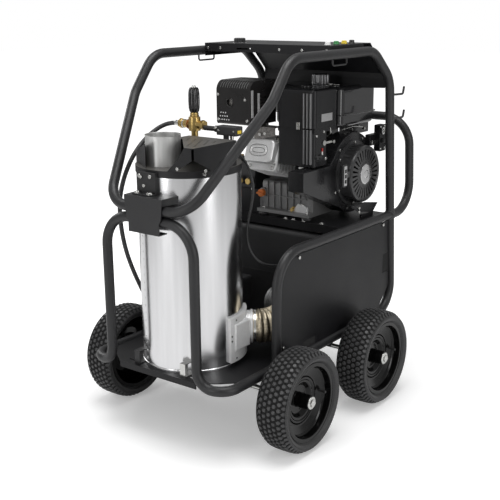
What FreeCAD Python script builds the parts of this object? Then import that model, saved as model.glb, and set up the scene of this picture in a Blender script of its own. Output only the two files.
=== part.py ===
"""Hot-water pressure washer on four wheels: bent tube frame, engine, boiler, pump and controls.

Millimetres. X points to the recoil side, -Y to the boiler end, +Z up from the floor.
Lengths along Y are measured from mid wheelbase; save() moves the origin under the middle of the part.
"""
import math
import os

import FreeCAD
import Part

V = FreeCAD.Vector
X_AXIS = V(1, 0, 0)
Y_AXIS = V(0, 1, 0)
Z_AXIS = V(0, 0, 1)
SIDES = (1, -1)
SIDE_NAME = {1: "right", -1: "left"}

# fits and seats
SEAT = 0.3
SHAFT_PLAY = 0.08
BOLT_R = 6.5
BOLT_HEAD = 5.0

# frame tubes, drawn through their virtual corners
TUBE_D = 31.75
TUBE_R = TUBE_D / 2
BEND_R = 100.0
FOOT_BEND_R = 55.0
SIDE_X = 276.8
BASE_Z = 247.0
RAIL_Z = 1204.0
NOSE_Y = -492.0
NOSE_UPPER_Z = 776.5
NOSE_LOWER_Z = 743.0
NOSE_END_X = 12.0
NOSE_CORNER_X = 160.0
KINK_Y = -237.8
KINK_Z = 1085.3
RAIL_FRONT_Y = -144.5
RAIL_REAR_Y = 346.0
SHOULDER_Y = 464.4
SHOULDER_Z = 1103.0
POST_LEAN = 0.0626
FOOT_X = 177.0
FOOT_FRONT_Y = -472.0

# inner side tubes that hold the side panels
PANEL_TUBE_Y = -219.0
PANEL_TUBE_Z = 610.0
PANEL_BEND_R = 115.0
PANEL_TAB_W = 26.0
PANEL_TAB_T = 3.0
PANEL_TAB_SINK = 4.0
PANEL_TAB_LOW_Z = 292.0
PANEL_TAB_Y = (-120.0, 420.0)
PANEL_BOLT_Y = 0.7
PANEL_BOLT_Z = 0.4

# push bar behind the posts
PUSH_LOW_Z = 608.0
PUSH_LOW_Y = 646.0
PUSH_TOP_Y = 621.0
PUSH_TOP_Z = 950.0

# cross tubes and base tray
TRAY_T = 3.0
TRAY_TOP_Z = 252.0
TRAY_FRONT_Y = -478.0
TRAY_REAR_Y = 470.0
TRAY_LIP_Z = 232.0
TRAY_NOSE_X = 160.0
TRAY_SLOT_L = 34.0
TRAY_SLOT_W = 8.0
TRAY_SLOT_X = 128.0
TRAY_SLOT_IN = 26.0
TRAY_CORNER_X = 60.0
TRAY_CORNER_Y = -436.0
TRAY_SIDE_Y = -380.0
CROSS_Y = (-150.0, 100.0, 400.0)
UPPER_CROSS_Z = 560.0

# wheels and axles
TYRE_R = 165.0
TYRE_W = 113.0
TRACK_X = 369.0
AXLE_Y = 229.3
AXLE_R = 8.0
TYRE_WALL = 47.0
TYRE_WALL_STEPS = ((5.0, 3.0), (0.0, 13.0))
TYRE_SHOULDER_STEPS = ((3.0, 15.0), (13.0, 6.0), (28.0, 2.0))
RIM_R = TYRE_R - TYRE_WALL
LIP_RISE = 9.6
LIP_R = RIM_R + LIP_RISE
LIP_HALF_W = 46.0
RIM_T = 3.0
DISH_X = 20.0
STEP_X = 6.0
STEP_OUT_R = 78.0
WELL_X = -8.0
WELL_R = 46.0
HUB_R = 24.0
HUB_HALF_L = 47.0
HANGER_T = 8.0
HANGER_W = 70.0
HANGER_DROP = 22.0
SPACER_R = 13.0
NUT_R = 12.0
NUT_L = 8.6

# boiler drum
DRUM_FRONT_Y = -462.0
DRUM_R = 163.0
DRUM_Y = DRUM_FRONT_Y + DRUM_R
DRUM_TOP_Z = 868.0
DRUM_RING_T = 2.0
DRUM_RING_R = DRUM_R + DRUM_RING_T
DRUM_RING_H = 9.0
INLET_OUT = 27.0
INLET_Y = DRUM_Y + 14.0
INLET_Z0 = 318.0
INLET_Z1 = 340.0
INLET_BEND_R = 12.0
CLIP_X = 96.0
CLIP_W = 22.0
CLIP_H = 44.0
CLIP_T = 3.0
CLIP_REACH = 34.0
BAND_H = 21.0
BAND_T = 2.5

# front bracket and boiler clamp
BRACKET_T = 4.0
BRACKET_TOP_Z = 812.0
BRACKET_LOW_Z = 704.0
BRACKET_TOP_X = 76.0
BRACKET_LOW_X = 62.0
BRACKET_STEP_Z = 752.0
BRACKET_SEAT_X = 80.0
BRACKET_LIP = 22.0
BRACKET_TAPER = 6.0
BRACKET_STEP_H = 12.0
CLAMP_X0 = -55.0
CLAMP_X1 = 20.0
CLAMP_BACK = 14.0
CLAMP_Y = DRUM_FRONT_Y - CLAMP_BACK
CLAMP_H = 67.0
CLAMP_T = 4.0
CLAMP_TOP_Z = BRACKET_TOP_Z + BRACKET_T + CLAMP_H
CLAMP_FOOT_L = 22.0
CLAMP_FLANGE_L = 60.0
CLAMP_BOLT_LEFT = 14.0
CLAMP_BOLT_RIGHT = 18.0
CLAMP_BOLT_IN = 12.0

# perforated boiler cover
SHEET = 2.0
COVER_H = 97.0
COVER_Z = DRUM_TOP_Z + COVER_H
COVER_FRONT_Y = DRUM_FRONT_Y + 5.0
COVER_BACK_Y = DRUM_Y + 44.0
COVER_RIGHT_X = DRUM_R - 9.0
COVER_RIDGE_X = -34.0
COVER_LEFT_X = 17.0 - DRUM_R
COVER_LEFT_Y = DRUM_Y - 81.0
COVER_LEFT_DROP = 42.0
COVER_LEFT_Z = COVER_Z - COVER_LEFT_DROP
COVER_CHAMFER_DROP = 33.0
COVER_CHAMFER_Z = COVER_Z - COVER_CHAMFER_DROP
COVER_CHAMFER_X = 80.0
COVER_CHAMFER_Y = DRUM_Y - 74.0
COVER_GAP = 7.0
RECESS_R = 59.0
RECESS_TOP_X = 121.0
RECESS_MID_X = 88.0
RECESS_MID_DROP = 43.0
RECESS_LOW_X = 52.0
VENT_L = 11.0
VENT_W = 4.0
VENT_PITCH_X = 26.0
VENT_PITCH_Y = 22.0
VENT_COLS = 5
VENT_ROWS = 6
VENT_EDGE = 8.0
VENT_INSET_X = 24.0
VENT_INSET_Y = 30.0

# exhaust stack
STACK_X = -40.0
STACK_Y = COVER_FRONT_Y + 87.0
STACK_R = 55.0
STACK_T = 1.5
STACK_RISE = 17.0
STACK_TOP_Z = COVER_Z + STACK_RISE

# burner cover, duct and blower
BURNER_T = 12.0
BURNER_R = DRUM_R + BURNER_T
BURNER_ANGLE_0 = -7.0
BURNER_ANGLE_1 = 52.0
BURNER_LOW_Z = 268.0
BURNER_TOP_Z = 415.0
BURNER_BOX_RISE = 16.5
BURNER_BOX_X = DRUM_R + BURNER_BOX_RISE
BURNER_BOX_Y0 = DRUM_Y - 4.0
BURNER_BOX_Y1 = DRUM_Y + 73.0
BURNER_BOX_Z0 = 303.0
BURNER_BOX_Z1 = 393.0
BURNER_BOX_ROUND = 7.0
DUCT_AIM = 37.25
DUCT_STAND = 32.0
DUCT_START_R = DRUM_R + DUCT_STAND
DUCT_LEAD = 10.0
DUCT_TURN_R = 80.0
DUCT_Z = 350.0
DUCT_R = 56.0
DUCT_BORE_R = 46.0
DUCT_RIB = 4.5
DUCT_RIBS = 11
DUCT_COLLAR = 13.0
DUCT_L = 166.0
BLOWER_X = 143.0
BLOWER_R = 92.0
BLOWER_W = 106.0
BLOWER_MOTOR_R = 48.0
BLOWER_MOTOR_L = 90.0
BLOWER_Z = 352.0
BLOWER_OUTLET_Z0 = 284.0
BLOWER_OUTLET_Z1 = 416.0
BLOWER_FLANGE_T = 3.0
BLOWER_FOOT_IN = 8.0
BLOWER_FOOT_HALF = 40.0

# engine platform
PLATFORM_Z = 620.0
PLATFORM_T = 4.0
PLATFORM_Y0 = 179.0
PLATFORM_LIP = 30.0
PLATFORM_Y1 = 474.0
PLATFORM_BACK_IN = 20.0
PLATFORM_RIB_X = 110.0

# burner fuel tank and battery on the tray
OIL_TANK_X = 238.0
OIL_TANK_Y0 = 166.0
OIL_TANK_Y1 = 440.0
OIL_TANK_GAP = 8.0
OIL_TANK_H = PLATFORM_Z - PLATFORM_LIP - OIL_TANK_GAP - TRAY_TOP_Z
OIL_TANK_ROUND = 28.0
OIL_TANK_TOP_ROUND = 16.0
OIL_CAP_R = 28.0
OIL_CAP_H = 22.0
OIL_CAP_IN_X = 70.0
OIL_CAP_IN_Y = 60.0
BATTERY_X0 = -236.0
BATTERY_X1 = -60.0
BATTERY_Y0 = -30.0
BATTERY_Y1 = 96.0
BATTERY_H = 165.0
BATTERY_LIP = 2.0
BATTERY_LID_LOW = 22.0
BATTERY_LID_TOP = 4.0
POLE_R = 8.0
POLE_H = 14.0
POLE_IN_X = 28.0
POLE_IN_Y = 26.0

# side panels
PANEL_TOP_GAP = 2.0
PANEL_T = 3.0
PANEL_POST_GAP_TOP = 1.0
PANEL_POST_GAP_LOW = 3.0
PANEL_CORNER_H = 80.0
PANEL_CORNER_L = 80.0
PANEL_CORNER_IN = 4.0
REAR_NOTCH_L = 34.0
REAR_NOTCH_Z0 = 398.0
REAR_NOTCH_Z1 = 470.0
LOW_NOTCH_Y0 = -70.0
LOW_NOTCH_L = 70.0
LOW_NOTCH_H = 26.0

# engine, crankshaft along X
CRANK_Y = 378.5
CRANK_Z = 774.0
CASE_X0 = -95.0
CASE_X1 = 124.0
CASE_Y0 = 216.0
CASE_Y1 = 486.0
CASE_Z0 = 632.0
CASE_R = 112.0
CASE_BACK = 46.0
CASE_EAR = 28.0
CASE_FLANGE = 12.0
CASE_ROUND = 14.0
CASE_BLOCK_DROP = 30.0
CASE_FOOT_LEFT = 6.0
CASE_FOOT_BACK = 14.0
CASE_COVER_IN = 22.0
MOUNT_R = 13.0
MOUNT_SINK = 2.0
MOUNT_LEFT = 14.0
MOUNT_RIGHT = 18.0
MOUNT_BACK = 15.0
CRANK_R = 14.0
CRANK_L = 40.0
SPOUT_T = 3.0
SPOUT_L = 12.0
SPOUT_ROOT = 30.0
CYL_TILT = 20.0
CYL_X = -38.0
CYL_W = 128.0
CYL_H = 128.0
CYL_START = 116.0
CYL_END = 246.0
FIN_COUNT = 7
FIN_T = 4.0
FIN_DEPTH = 16.0
FIN_ROUND = 14.0
CYL_ROOT = 30.0
HEAD_PLATE_T = 22.0
HEAD_PLATE_IN_X = 2.0
HEAD_PLATE_IN_Z = 4.0
VALVE_W = 118.0
VALVE_H = 84.0
VALVE_L = 34.0
VALVE_FLANGE_OUT = 4.0
VALVE_FLANGE_T = 4.0
VALVE_FLANGE_ROUND = 12.0
VALVE_SIDE_ROUND = 16.0
VALVE_ROUND = 8.0

# blower housing and recoil starter
SHROUD_X0 = CASE_X1
SHROUD_X1 = 186.0
SHROUD_R = 143.0
SHROUD_T = 2.5
SHROUD_NOSE_Y = 62.0
SHROUD_NOSE_Z0 = 752.0
SHROUD_NOSE_Z1 = 818.0
SHROUD_WING_TOP = 128.0
SHROUD_WING_LOW = 232.0
SHROUD_WING_GAP = 6.0
SHROUD_EYE_IN = 4.0
RECOIL_X1 = 240.0
RECOIL_R = 102.0
RECOIL_T = 2.5
RECOIL_EDGE_R = 10.0
RECOIL_HUB_R = 38.0
RECOIL_DISH = 4.0
RECOIL_DISH_SLOPE = 6.0
RECOIL_SLOTS = 28
SLOT_IN_R = 50.0
SLOT_OUT_R = 88.0
SLOT_IN_HALF_W = 1.8
SLOT_OUT_HALF_W = 4.0
SLOT_TIP = 3.0
SLOT_DEPTH = 14.0
FLANGE_R = 116.0
FAN_X0 = 136.0
FAN_R = 92.0
FAN_BLADES = 16
FAN_DEPTH = 36.0
FAN_DISC = 6.0
FAN_HUB_R = 34.0
BLADE_IN_R = 50.0
BLADE_EDGE = 2.0
BLADE_T = 3.0
BLADE_SWEEP = 24.0
GRIP_X = 232.0
GRIP_Y = 252.0
GRIP_Z = 788.0
GRIP_L = 80.0
GRIP_W = 26.0
GRIP_T = 18.0
GRIP_ROUND = 6.0
GUIDE_IN = 9.0
GUIDE_OUT = 2.0
GUIDE_ROOT = 16.0
GUIDE_H = 20.0

# muffler
GUARD_X0 = -178.0
GUARD_X1 = -32.0
GUARD_Y0 = 60.0
GUARD_Y1 = 212.0
GUARD_Z0 = 958.0
GUARD_Z1 = 1108.0
GUARD_ROUND = 10.0
GUARD_FRONT_ROUND = 35.0
GUARD_T = 2.0
LOUVRE_COUNT = 6
LOUVRE_W = 46.0
LOUVRE_H = 6.0
LOUVRE_PITCH = 12.0
LOUVRE_SPREAD = 1.4
LOUVRE_LEFT = 24.0
LOUVRE_TOP_IN = 6.0
LOUVRE_SIDE_Y = 50.0
LOUVRE_SIDE_Z = 28.0
LOUVRE_CUT = 4.0
LOUVRE_SIDE_CUT = 6.0
MUFFLER_GAP = 7.0
MUFFLER_TRAY = 4.0
MUFFLER_LIP = 25.0
OUTLET_PIPE_INSET = 60.0
OUTLET_PIPE_DROP = 74.0
OUTLET_PIPE_R = 12.0
EXHAUST_R = 13.0
EXHAUST_Y = 181.0
EXHAUST_LEFT = 28.0

# air cleaner
CLEANER_X0 = 26.0
CLEANER_X1 = 179.5
CLEANER_Y0 = 136.0
CLEANER_Y1 = 279.0
CLEANER_Z0 = 954.0
CLEANER_Z1 = 1085.0
CLEANER_BASE_Z = 825.0
CLEANER_BASE_Y1 = 222.0
CLEANER_RIB = 3.0
CLEANER_RIBS = (44.0, 30.0)
CLEANER_RIB_ROOT = 20.0
CLEANER_RIB_DROP = 12.0
CLEANER_RIB_OUT = 1.0
CLEANER_RIB_UP = 6.0
CLEANER_ROUND = 14.0
CLEANER_TOP_ROUND = 10.0
CLEANER_BASE_IN = 2.0
CLEANER_SEAM = 4.0
CLEANER_TRAY = 14.0
CARB_X0 = 36.0
CARB_X1 = 96.0
CARB_L = 46.0
CARB_Z0 = 846.0
CARB_Z1 = 900.0
BOWL_X = 30.0
BOWL_R = 21.0
BOWL_DROP = 34.0
BOWL_SINK = 2.0
THROAT_R = 17.0
THROAT_Z = 872.0
THROAT_SINK = 4.0

# engine fuel tank
TANK_X0 = -118.0
TANK_X1 = 170.0
TANK_Y0 = 314.0
TANK_Y1 = 560.0
TANK_Z0 = 936.0
TANK_SEAM_Z = 980.0
TANK_Z1 = 1080.0
TANK_FLANGE = 7.0
TANK_ROUND = 24.0
TANK_TOP_ROUND = 18.0
TANK_LOW_ROUND = 14.0
TANK_STEP = 4.0
TANK_FLANGE_T = 4.0
TANK_LEG_X = (-70.0, 60.0)
TANK_LEG_W = 26.0
TANK_LEG_FRONT = 30.0
TANK_LEG_BACK = 60.0
TANK_LEG_SINK = 12.0
NECK_IN = 8.0
NECK_T = 5.0
NECK_H = 10.0
CAP_X = 42.0
CAP_Y = 382.0
CAP_R = 32.0
CAP_H = 36.0
CAP_LOBES = 10
CAP_GROOVE_R = 5.0
CAP_GROOVE_OUT = 2.0

# small engine parts
SWITCH_X0 = 206.0
SWITCH_X1 = 230.0
SWITCH_Y0 = 488.0
SWITCH_Y1 = 532.0
SWITCH_Z0 = 838.0
SWITCH_Z1 = 934.0
SWITCH_ROUND = 5.0
LOCK_R = 14.0
LOCK_H = 4.0
LOCK_DROP = 22.0
LOCK_BORE_L = 12.0
SWITCH_ARM_L = 28.0
SWITCH_ARM_LOW = 22.0
SWITCH_ARM_H = 40.0
KEY_R = 6.0
KEY_IN = 11.0
KEY_OUT = 9.0
BOW_GAP = 8.0
BOW_L = 24.0
BOW_W = 24.0
BOW_T = 4.0
BOW_ROUND = 6.0
DIPSTICK_X = -87.0
DIPSTICK_R = 14.0
DIPSTICK_Z = 699.0
DIPSTICK_CAP_H = 12.0
WING_T = 6.0
WING_L = 9.0
WING_SINK = 1.0
STICK_IN = 4.0
STICK_R = DIPSTICK_R - STICK_IN
STICK_L = 18.0
LEVER_T = 4.0
LEVER_PIN_L = 10.0
THROTTLE_PIVOT = (196.0, 902.0, 4.0)
CHOKE_PIVOT = (176.0, 858.0, 3.0)
THROTTLE_EYE_R = 9.0
THROTTLE_ARM_W = 8.0
THROTTLE_ARM_L = 48.0
THROTTLE_TIP_R = 6.0
THROTTLE_TIP_L = 12.0
CHOKE_EYE_R = 7.0
CHOKE_ARM_W = 6.0
CHOKE_ARM_L = 26.0
CHOKE_TIP_R = 7.0
CHOKE_TIP_L = 8.0

PLUG_SEAT = (12.0, 184.0, 884.0)
PLUG_ROUTE = ((30.0, 176.0, 905.0), (60.0, 160.0, 940.0), (104.0, 178.0, 905.0), (122.0, 200.0, 850.0))
PLUG_BENDS = (18.0, 20.0)
PLUG_LEAD_R = 3.5
PLUG_BOOT_R = 10.0

# pump on the far side of the engine
PUMP_X0 = -235.0
PUMP_X1 = -96.0
PUMP_Y0 = 300.0
PUMP_Y1 = 452.0
PUMP_Z0 = 690.0
PUMP_Z1 = 836.0
PUMP_FLANGE_T = 16.0
PUMP_FLANGE_IN = 24.0
PUMP_ROUND = 26.0
PUMP_CAP_R = 40.0
PUMP_CAP_H = 10.0
PLUNGERS = 3
HEAD_DEPTH = 92.0
HEAD_Z0 = 700.0
HEAD_Z1 = 800.0
PUMP_PORT_R = 8.0
PUMP_PORT_L = 18.0
HEAD_IN_LEFT = 6.0
HEAD_IN_RIGHT = 28.0
HEAD_ROUND = 8.0
TOP_PLUG_Y = 30.0
FRONT_PLUG_Z = 36.0
PUMP_PORT_Y = 46.0
PUMP_PORT_Z = (24.0, 70.0)
VALVE_PLUG_R = 15.0
VALVE_PLUG_L = 16.0

# unloader valve on the boiler outlet
UNLOADER_X = -53.0
UNLOADER_Y = -205.0
UNLOADER_RISE = 125.0
UNLOADER_Z = DRUM_TOP_Z + UNLOADER_RISE
UNLOADER_R = 15.0
RISER_R = 11.0
VALVE_BODY_R = 19.0
VALVE_BODY_LOW = 20.0
VALVE_BODY_UP = 24.0
PORT_TUBE_R = 13.0
PORT_LEFT = 50.0
PORT_RIGHT = 42.0
PORT_NUT_R = 16.0
PORT_NUT_L = 12.0
NUT_LEFT_X = 48.0
NUT_RIGHT_X = 30.0
STEM_R = 5.0
STEM_BORE_UP = 10.0
STEM_UP = 12.0
KNOB_GAP = 38.0
KNOB_H = 79.0
KNOB_LOW_Z = UNLOADER_Z + KNOB_GAP
KNOB_TOP_Z = KNOB_LOW_Z + KNOB_H
KNOB_R = 17.0
KNOB_TAPER = 4.0
KNOB_FLUTES = 8
FLUTE_R = 3.5
FLUTE_OUT = 1.5
FLUTE_UP = 24.0
KNOB_TIP_R = 6.0
KNOB_TIP_H = 5.0
SWITCH_BOX_X0 = 51.0
SWITCH_BOX_X1 = 126.0
SWITCH_BOX_DROP = 24.0
SWITCH_BOX_H = 29.0
SWITCH_BOX_Z0 = UNLOADER_Z - SWITCH_BOX_DROP
SWITCH_BOX_W = 36.0
SWITCH_BOX_ROUND = 4.0
SWITCH_STUB_R = 8.0
SWITCH_STUB_DROP = 8.0
SWITCH_LEG_R = 9.0
SWITCH_LEG_IN = 24.0

# console
CONSOLE_Y0 = 103.0
CONSOLE_TOP_Z = 1230.0
CONSOLE_LIP = 28.0
CONSOLE_LIP_Z = CONSOLE_TOP_Z - CONSOLE_LIP
CONSOLE_FLANGE = 44.0
CONSOLE_FLANGE_END = 40.0
CONSOLE_SLOT_X0 = -120.0
CONSOLE_SLOT_L = 60.0
CONSOLE_SLOT_UP = 8.0
CONSOLE_SLOT_H = 6.0
REAR_SHEET_T = 2.7
REAR_LIP_BACK = 2.0
CONSOLE_SLOPE_Y = 352.0
CONSOLE_BACK_Y = 461.0
CONSOLE_BACK_DROP = 108.0
CONSOLE_BACK_Z = CONSOLE_TOP_Z - CONSOLE_BACK_DROP
CONSOLE_EDGE = 19.0
CONSOLE_LOW_Z = CONSOLE_BACK_Z - CONSOLE_EDGE
WIRE_R = 3.0
LOOP_Y0 = 88.0
LOOP_Y1 = 172.0
LOOP_DROP = 34.0
LOOP_BEND_R = 8.0
REAR_HOOK_Z = (1046.0, 962.0)
REAR_HOOK_R = 4.0
REAR_HOOK_L = 96.0
REAR_HOOK_TIP = 104.0
REAR_HOOK_SAG = 4.0
REAR_HOOK_UP = 22.0
REAR_HOOK_BEND_R = 10.0
NOZZLE_X = 236.0
NOZZLE_Y = (122.0, 173.0, 222.0, 270.0)
NOZZLE_R = 10.0
NOZZLE_HEAD = 12.0
NOZZLE_STEM_R = 6.0
NOZZLE_STEM = 34.0
DIAL_X = -150.0
DIAL_Y = 160.0
DIAL_R = 20.0
DIAL_H = 16.0
DIAL_GROOVES = 12
DIAL_GROOVE_R = 3.0
DIAL_GROOVE_OUT = 1.0
DIAL_SPINDLE_R = 4.0
DIAL_SPINDLE_L = 14.0

# hoses, as corners of bent routes
OUTLET_D = 14.5
OUTLET_ROUTE = (
    (-113, -205, 993), (-148, -205, 993), (-180, -230, 980), (-198, -278, 948), (-203, -330, 903),
    (-204, -368, 853), (-204, -394, 800), (-204, -406, 745), (-204, -403, 673), (-204, -388, 600),
    (-204, -362, 530), (-203, -326, 455), (-197, -297, 395), (-190, -285, 358), (-190, -285, 340))
DRAIN_D = 9.0
DRAIN_ROUTE = (
    (98, -205, 969), (98, -205, 946), (92, -186, 922), (99, -158, 898), (123, -157, 866), (141, -160, 832),
    (146, -160, 792), (137, -160, 740), (124, -160, 694), (117, -160, 645), (123, -158, 602),
    (143, -152, 568), (166, -134, 548), (182, -104, 539), (184, -64, 532), (176, -20, 518),
    (166, 22, 500), (158, 56, 484), (158, 67, 462), (158, 67, 444.4))
PORT_R = 9.0

PARTS = {}


def box(x0, x1, y0, y1, z0, z1):
    """Block between two corners."""
    return Part.makeBox(x1 - x0, y1 - y0, z1 - z0, V(x0, y0, z0))


def rod(radius, start, end):
    """Round bar from one point to another."""
    return Part.makeCylinder(radius, start.distanceToPoint(end), start, end - start)


def pipe(outer, inner, start, end):
    """Round bar with a bore right through."""
    return rod(outer, start, end).cut(rod(inner, start, end))


def prism(points, sweep):
    """Flat polygon swept along one vector."""
    return Part.Face(Part.makePolygon(list(points) + [points[0]])).extrude(sweep)


def lathe(profile, centre, axis=X_AXIS):
    """Closed profile of (along, radius) pairs, turned about an axis through centre."""
    across = Z_AXIS if abs(axis.z) < 1 else X_AXIS
    points = [centre + axis * along + across * radius for along, radius in profile]
    return Part.Face(Part.makePolygon(points + [points[0]])).revolve(centre, axis, 360)


def bent_path(corners, radii):
    """Straight runs joined by tangent arcs, one radius for each inner corner."""
    edges = []
    start = corners[0]
    for before, corner, after, radius in zip(corners, corners[1:], corners[2:], radii):
        into = (corner - before).normalize()
        out = (after - corner).normalize()
        half_turn = into.getAngle(out) / 2
        reach = radius * math.tan(half_turn)
        inward = (out - into).normalize()
        middle = corner + inward * (radius / math.cos(half_turn) - radius)
        edges.append(Part.LineSegment(start, corner - into * reach).toShape())
        edges.append(Part.Arc(corner - into * reach, middle, corner + out * reach).toShape())
        start = corner + out * reach
    edges.append(Part.LineSegment(start, corners[-1]).toShape())
    return Part.Wire(edges)


def bent_rod(corners, radii, radius):
    """Round bar along a bent path."""
    path = bent_path(corners, radii)
    along = (corners[1] - corners[0]).normalize()
    ring = Part.Wire(Part.Circle(corners[0], along, radius).toShape())
    return path.makePipeShell([ring], True, False)


def hose(route, diameter, name):
    """Hose whose arcs are as large as its runs allow; prints the arc radii and a volume ratio."""
    corners = [V(*point) for point in route]
    radii = []
    for before, corner, after in zip(corners, corners[1:], corners[2:]):
        run = min(before.distanceToPoint(corner), corner.distanceToPoint(after))
        half_turn = (corner - before).getAngle(after - corner) / 2
        radii.append(0.45 * run / math.tan(half_turn))
    solid = bent_rod(corners, radii, diameter / 2)
    length = bent_path(corners, radii).Length
    section = math.pi * diameter * diameter / 4
    print(name, "radii", [round(radius) for radius in radii], "length", round(length),
          "volume ratio", round(solid.Volume / (section * length), 4))
    return solid


def mirrored(shape):
    """The same piece on the other side of the machine."""
    return shape.mirror(V(0, 0, 0), X_AXIS)


def rounded(shape, radius, pick):
    """Fillets on the edges that pick chooses."""
    return shape.makeFillet(radius, [edge for edge in shape.Edges if pick(edge)])


def runs_along(axis):
    """Chooser of straight edges parallel to an axis."""
    def pick(edge):
        if not isinstance(edge.Curve, (Part.Line, Part.LineSegment)):
            return False
        return abs(edge.tangentAt(edge.FirstParameter).dot(axis)) > 0.999
    return pick


def group(shapes):
    """Separate solids of one node."""
    return Part.makeCompound([solid for shape in shapes for solid in shape.Solids])


def one(shapes):
    """Pieces welded or moulded into one solid."""
    shapes = list(shapes)
    return shapes[0].multiFuse(shapes[1:]).removeSplitter()


def post_y(z):
    """Y of a rear post's centre line at a height."""
    return SHOULDER_Y + (SHOULDER_Z - z) * POST_LEAN


def bolt(seat, axis, radius=BOLT_R, head=BOLT_HEAD):
    """Hex bolt head on its seat."""
    axis = V(*axis)
    across = Z_AXIS if abs(axis.z) < 0.9 else X_AXIS
    corners = []
    for step in range(6):
        turn = FreeCAD.Rotation(axis, step * 60)
        corners.append(seat + turn.multVec(across) * radius)
    return prism(corners, axis * head)


def frame_tube():
    """Right side loop: bracket, slanted front, rail, rear post, base rail and front foot."""
    corners = [
        V(NOSE_END_X, NOSE_Y, NOSE_UPPER_Z),
        V(NOSE_CORNER_X, NOSE_Y, NOSE_UPPER_Z),
        V(SIDE_X, KINK_Y, KINK_Z),
        V(SIDE_X, RAIL_FRONT_Y, RAIL_Z),
        V(SIDE_X, RAIL_REAR_Y, RAIL_Z),
        V(SIDE_X, SHOULDER_Y, SHOULDER_Z),
        V(SIDE_X, post_y(BASE_Z), BASE_Z),
        V(SIDE_X, FOOT_FRONT_Y, BASE_Z),
        V(FOOT_X, NOSE_Y, BASE_Z),
        V(FOOT_X, NOSE_Y, NOSE_LOWER_Z),
        V(NOSE_END_X, NOSE_Y, NOSE_LOWER_Z),
    ]
    radii = [BEND_R] * 6 + [FOOT_BEND_R, FOOT_BEND_R, BEND_R]
    return bent_rod(corners, radii, TUBE_R)


def panel_tube(frame):
    """Right inner tube from the base rail up and back to the post, with tabs for the panel."""
    corners = [
        V(SIDE_X, PANEL_TUBE_Y, BASE_Z),
        V(SIDE_X, PANEL_TUBE_Y, PANEL_TUBE_Z),
        V(SIDE_X, post_y(PANEL_TUBE_Z), PANEL_TUBE_Z),
    ]
    tube = bent_rod(corners, [PANEL_BEND_R], TUBE_R)
    tabs = [box(SIDE_X - PANEL_TAB_T, SIDE_X, y0, y0 + PANEL_TAB_W, z0, z0 + PANEL_TAB_W)
            for y0, z0 in panel_tab_corners()]
    return one([tube] + tabs).cut(frame)


def panel_tab_corners():
    """Lower front corners of the tabs that the side panel is bolted to."""
    front = PANEL_TUBE_Y + TUBE_R - PANEL_TAB_SINK
    top = PANEL_TUBE_Z - TUBE_R + PANEL_TAB_SINK - PANEL_TAB_W
    return ((front, PANEL_TAB_LOW_Z),) + tuple((y, top) for y in PANEL_TAB_Y)


def build_frame():
    """Both side loops, the panel tubes, the push bar and the cross tubes."""
    right = frame_tube()
    left = mirrored(right)
    PARTS["frame_tube_right"] = right
    PARTS["frame_tube_left"] = left
    inner = panel_tube(right)
    PARTS["panel_tubes"] = group([inner, mirrored(inner)])
    PARTS["push_bar"] = push_bar().cut(group([right, left]))
    PARTS["under_frame"] = under_frame(group([right, left]))


def push_bar():
    """One bent bar: back from each post, up, and across behind the engine."""
    corners = [
        V(-SIDE_X, post_y(PUSH_LOW_Z), PUSH_LOW_Z),
        V(-SIDE_X, PUSH_LOW_Y, PUSH_LOW_Z),
        V(-SIDE_X, PUSH_TOP_Y, PUSH_TOP_Z),
        V(SIDE_X, PUSH_TOP_Y, PUSH_TOP_Z),
        V(SIDE_X, PUSH_LOW_Y, PUSH_LOW_Z),
        V(SIDE_X, post_y(PUSH_LOW_Z), PUSH_LOW_Z),
    ]
    return bent_rod(corners, [BEND_R] * 4, TUBE_R)


def cross_tubes():
    """Straight tubes between the side loops: three under the tray and one behind the platform."""
    low_z = TRAY_TOP_Z - TRAY_T - TUBE_R
    low = [rod(TUBE_R, V(-SIDE_X, y, low_z), V(SIDE_X, y, low_z)) for y in CROSS_Y]
    high_y = post_y(UPPER_CROSS_Z)
    return low + [rod(TUBE_R, V(-SIDE_X, high_y, UPPER_CROSS_Z), V(SIDE_X, high_y, UPPER_CROSS_Z))]


def base_tray(frame):
    """Floor sheet between the base rails with a front lip and the four axle hangers below."""
    half = SIDE_X
    rear_y = TRAY_REAR_Y
    outline = [
        V(-TRAY_NOSE_X, TRAY_FRONT_Y, 0), V(TRAY_NOSE_X, TRAY_FRONT_Y, 0),
        V(half - TRAY_CORNER_X, TRAY_CORNER_Y, 0),
        V(half, TRAY_SIDE_Y, 0), V(half, rear_y, 0), V(-half, rear_y, 0),
        V(-half, TRAY_SIDE_Y, 0), V(TRAY_CORNER_X - half, TRAY_CORNER_Y, 0)]
    low = V(0, 0, TRAY_TOP_Z - TRAY_T)
    floor = prism([point + low for point in outline], Z_AXIS * TRAY_T)
    lip = box(-TRAY_NOSE_X, TRAY_NOSE_X, TRAY_FRONT_Y, TRAY_FRONT_Y + TRAY_T, TRAY_LIP_Z, TRAY_TOP_Z)
    slots = [tray_slot(side * TRAY_SLOT_X, TRAY_FRONT_Y + TRAY_SLOT_IN) for side in SIDES]
    return floor.fuse(lip).cut(group(slots)).cut(frame).cut(PARTS["panel_tubes"])


def tray_slot(x, y):
    """Drain slot through the tray."""
    return box(x - TRAY_SLOT_L / 2, x + TRAY_SLOT_L / 2, y, y + TRAY_SLOT_W, TRAY_LIP_Z, TRAY_TOP_Z + 1)


def under_frame(frame):
    """Cross tubes between the side loops and four bored plates that carry the axles."""
    plates = [axle_hanger(side, axle_y) for side in SIDES for axle_y in (-AXLE_Y, AXLE_Y)]
    return group([piece.cut(frame) for piece in cross_tubes() + plates])


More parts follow.
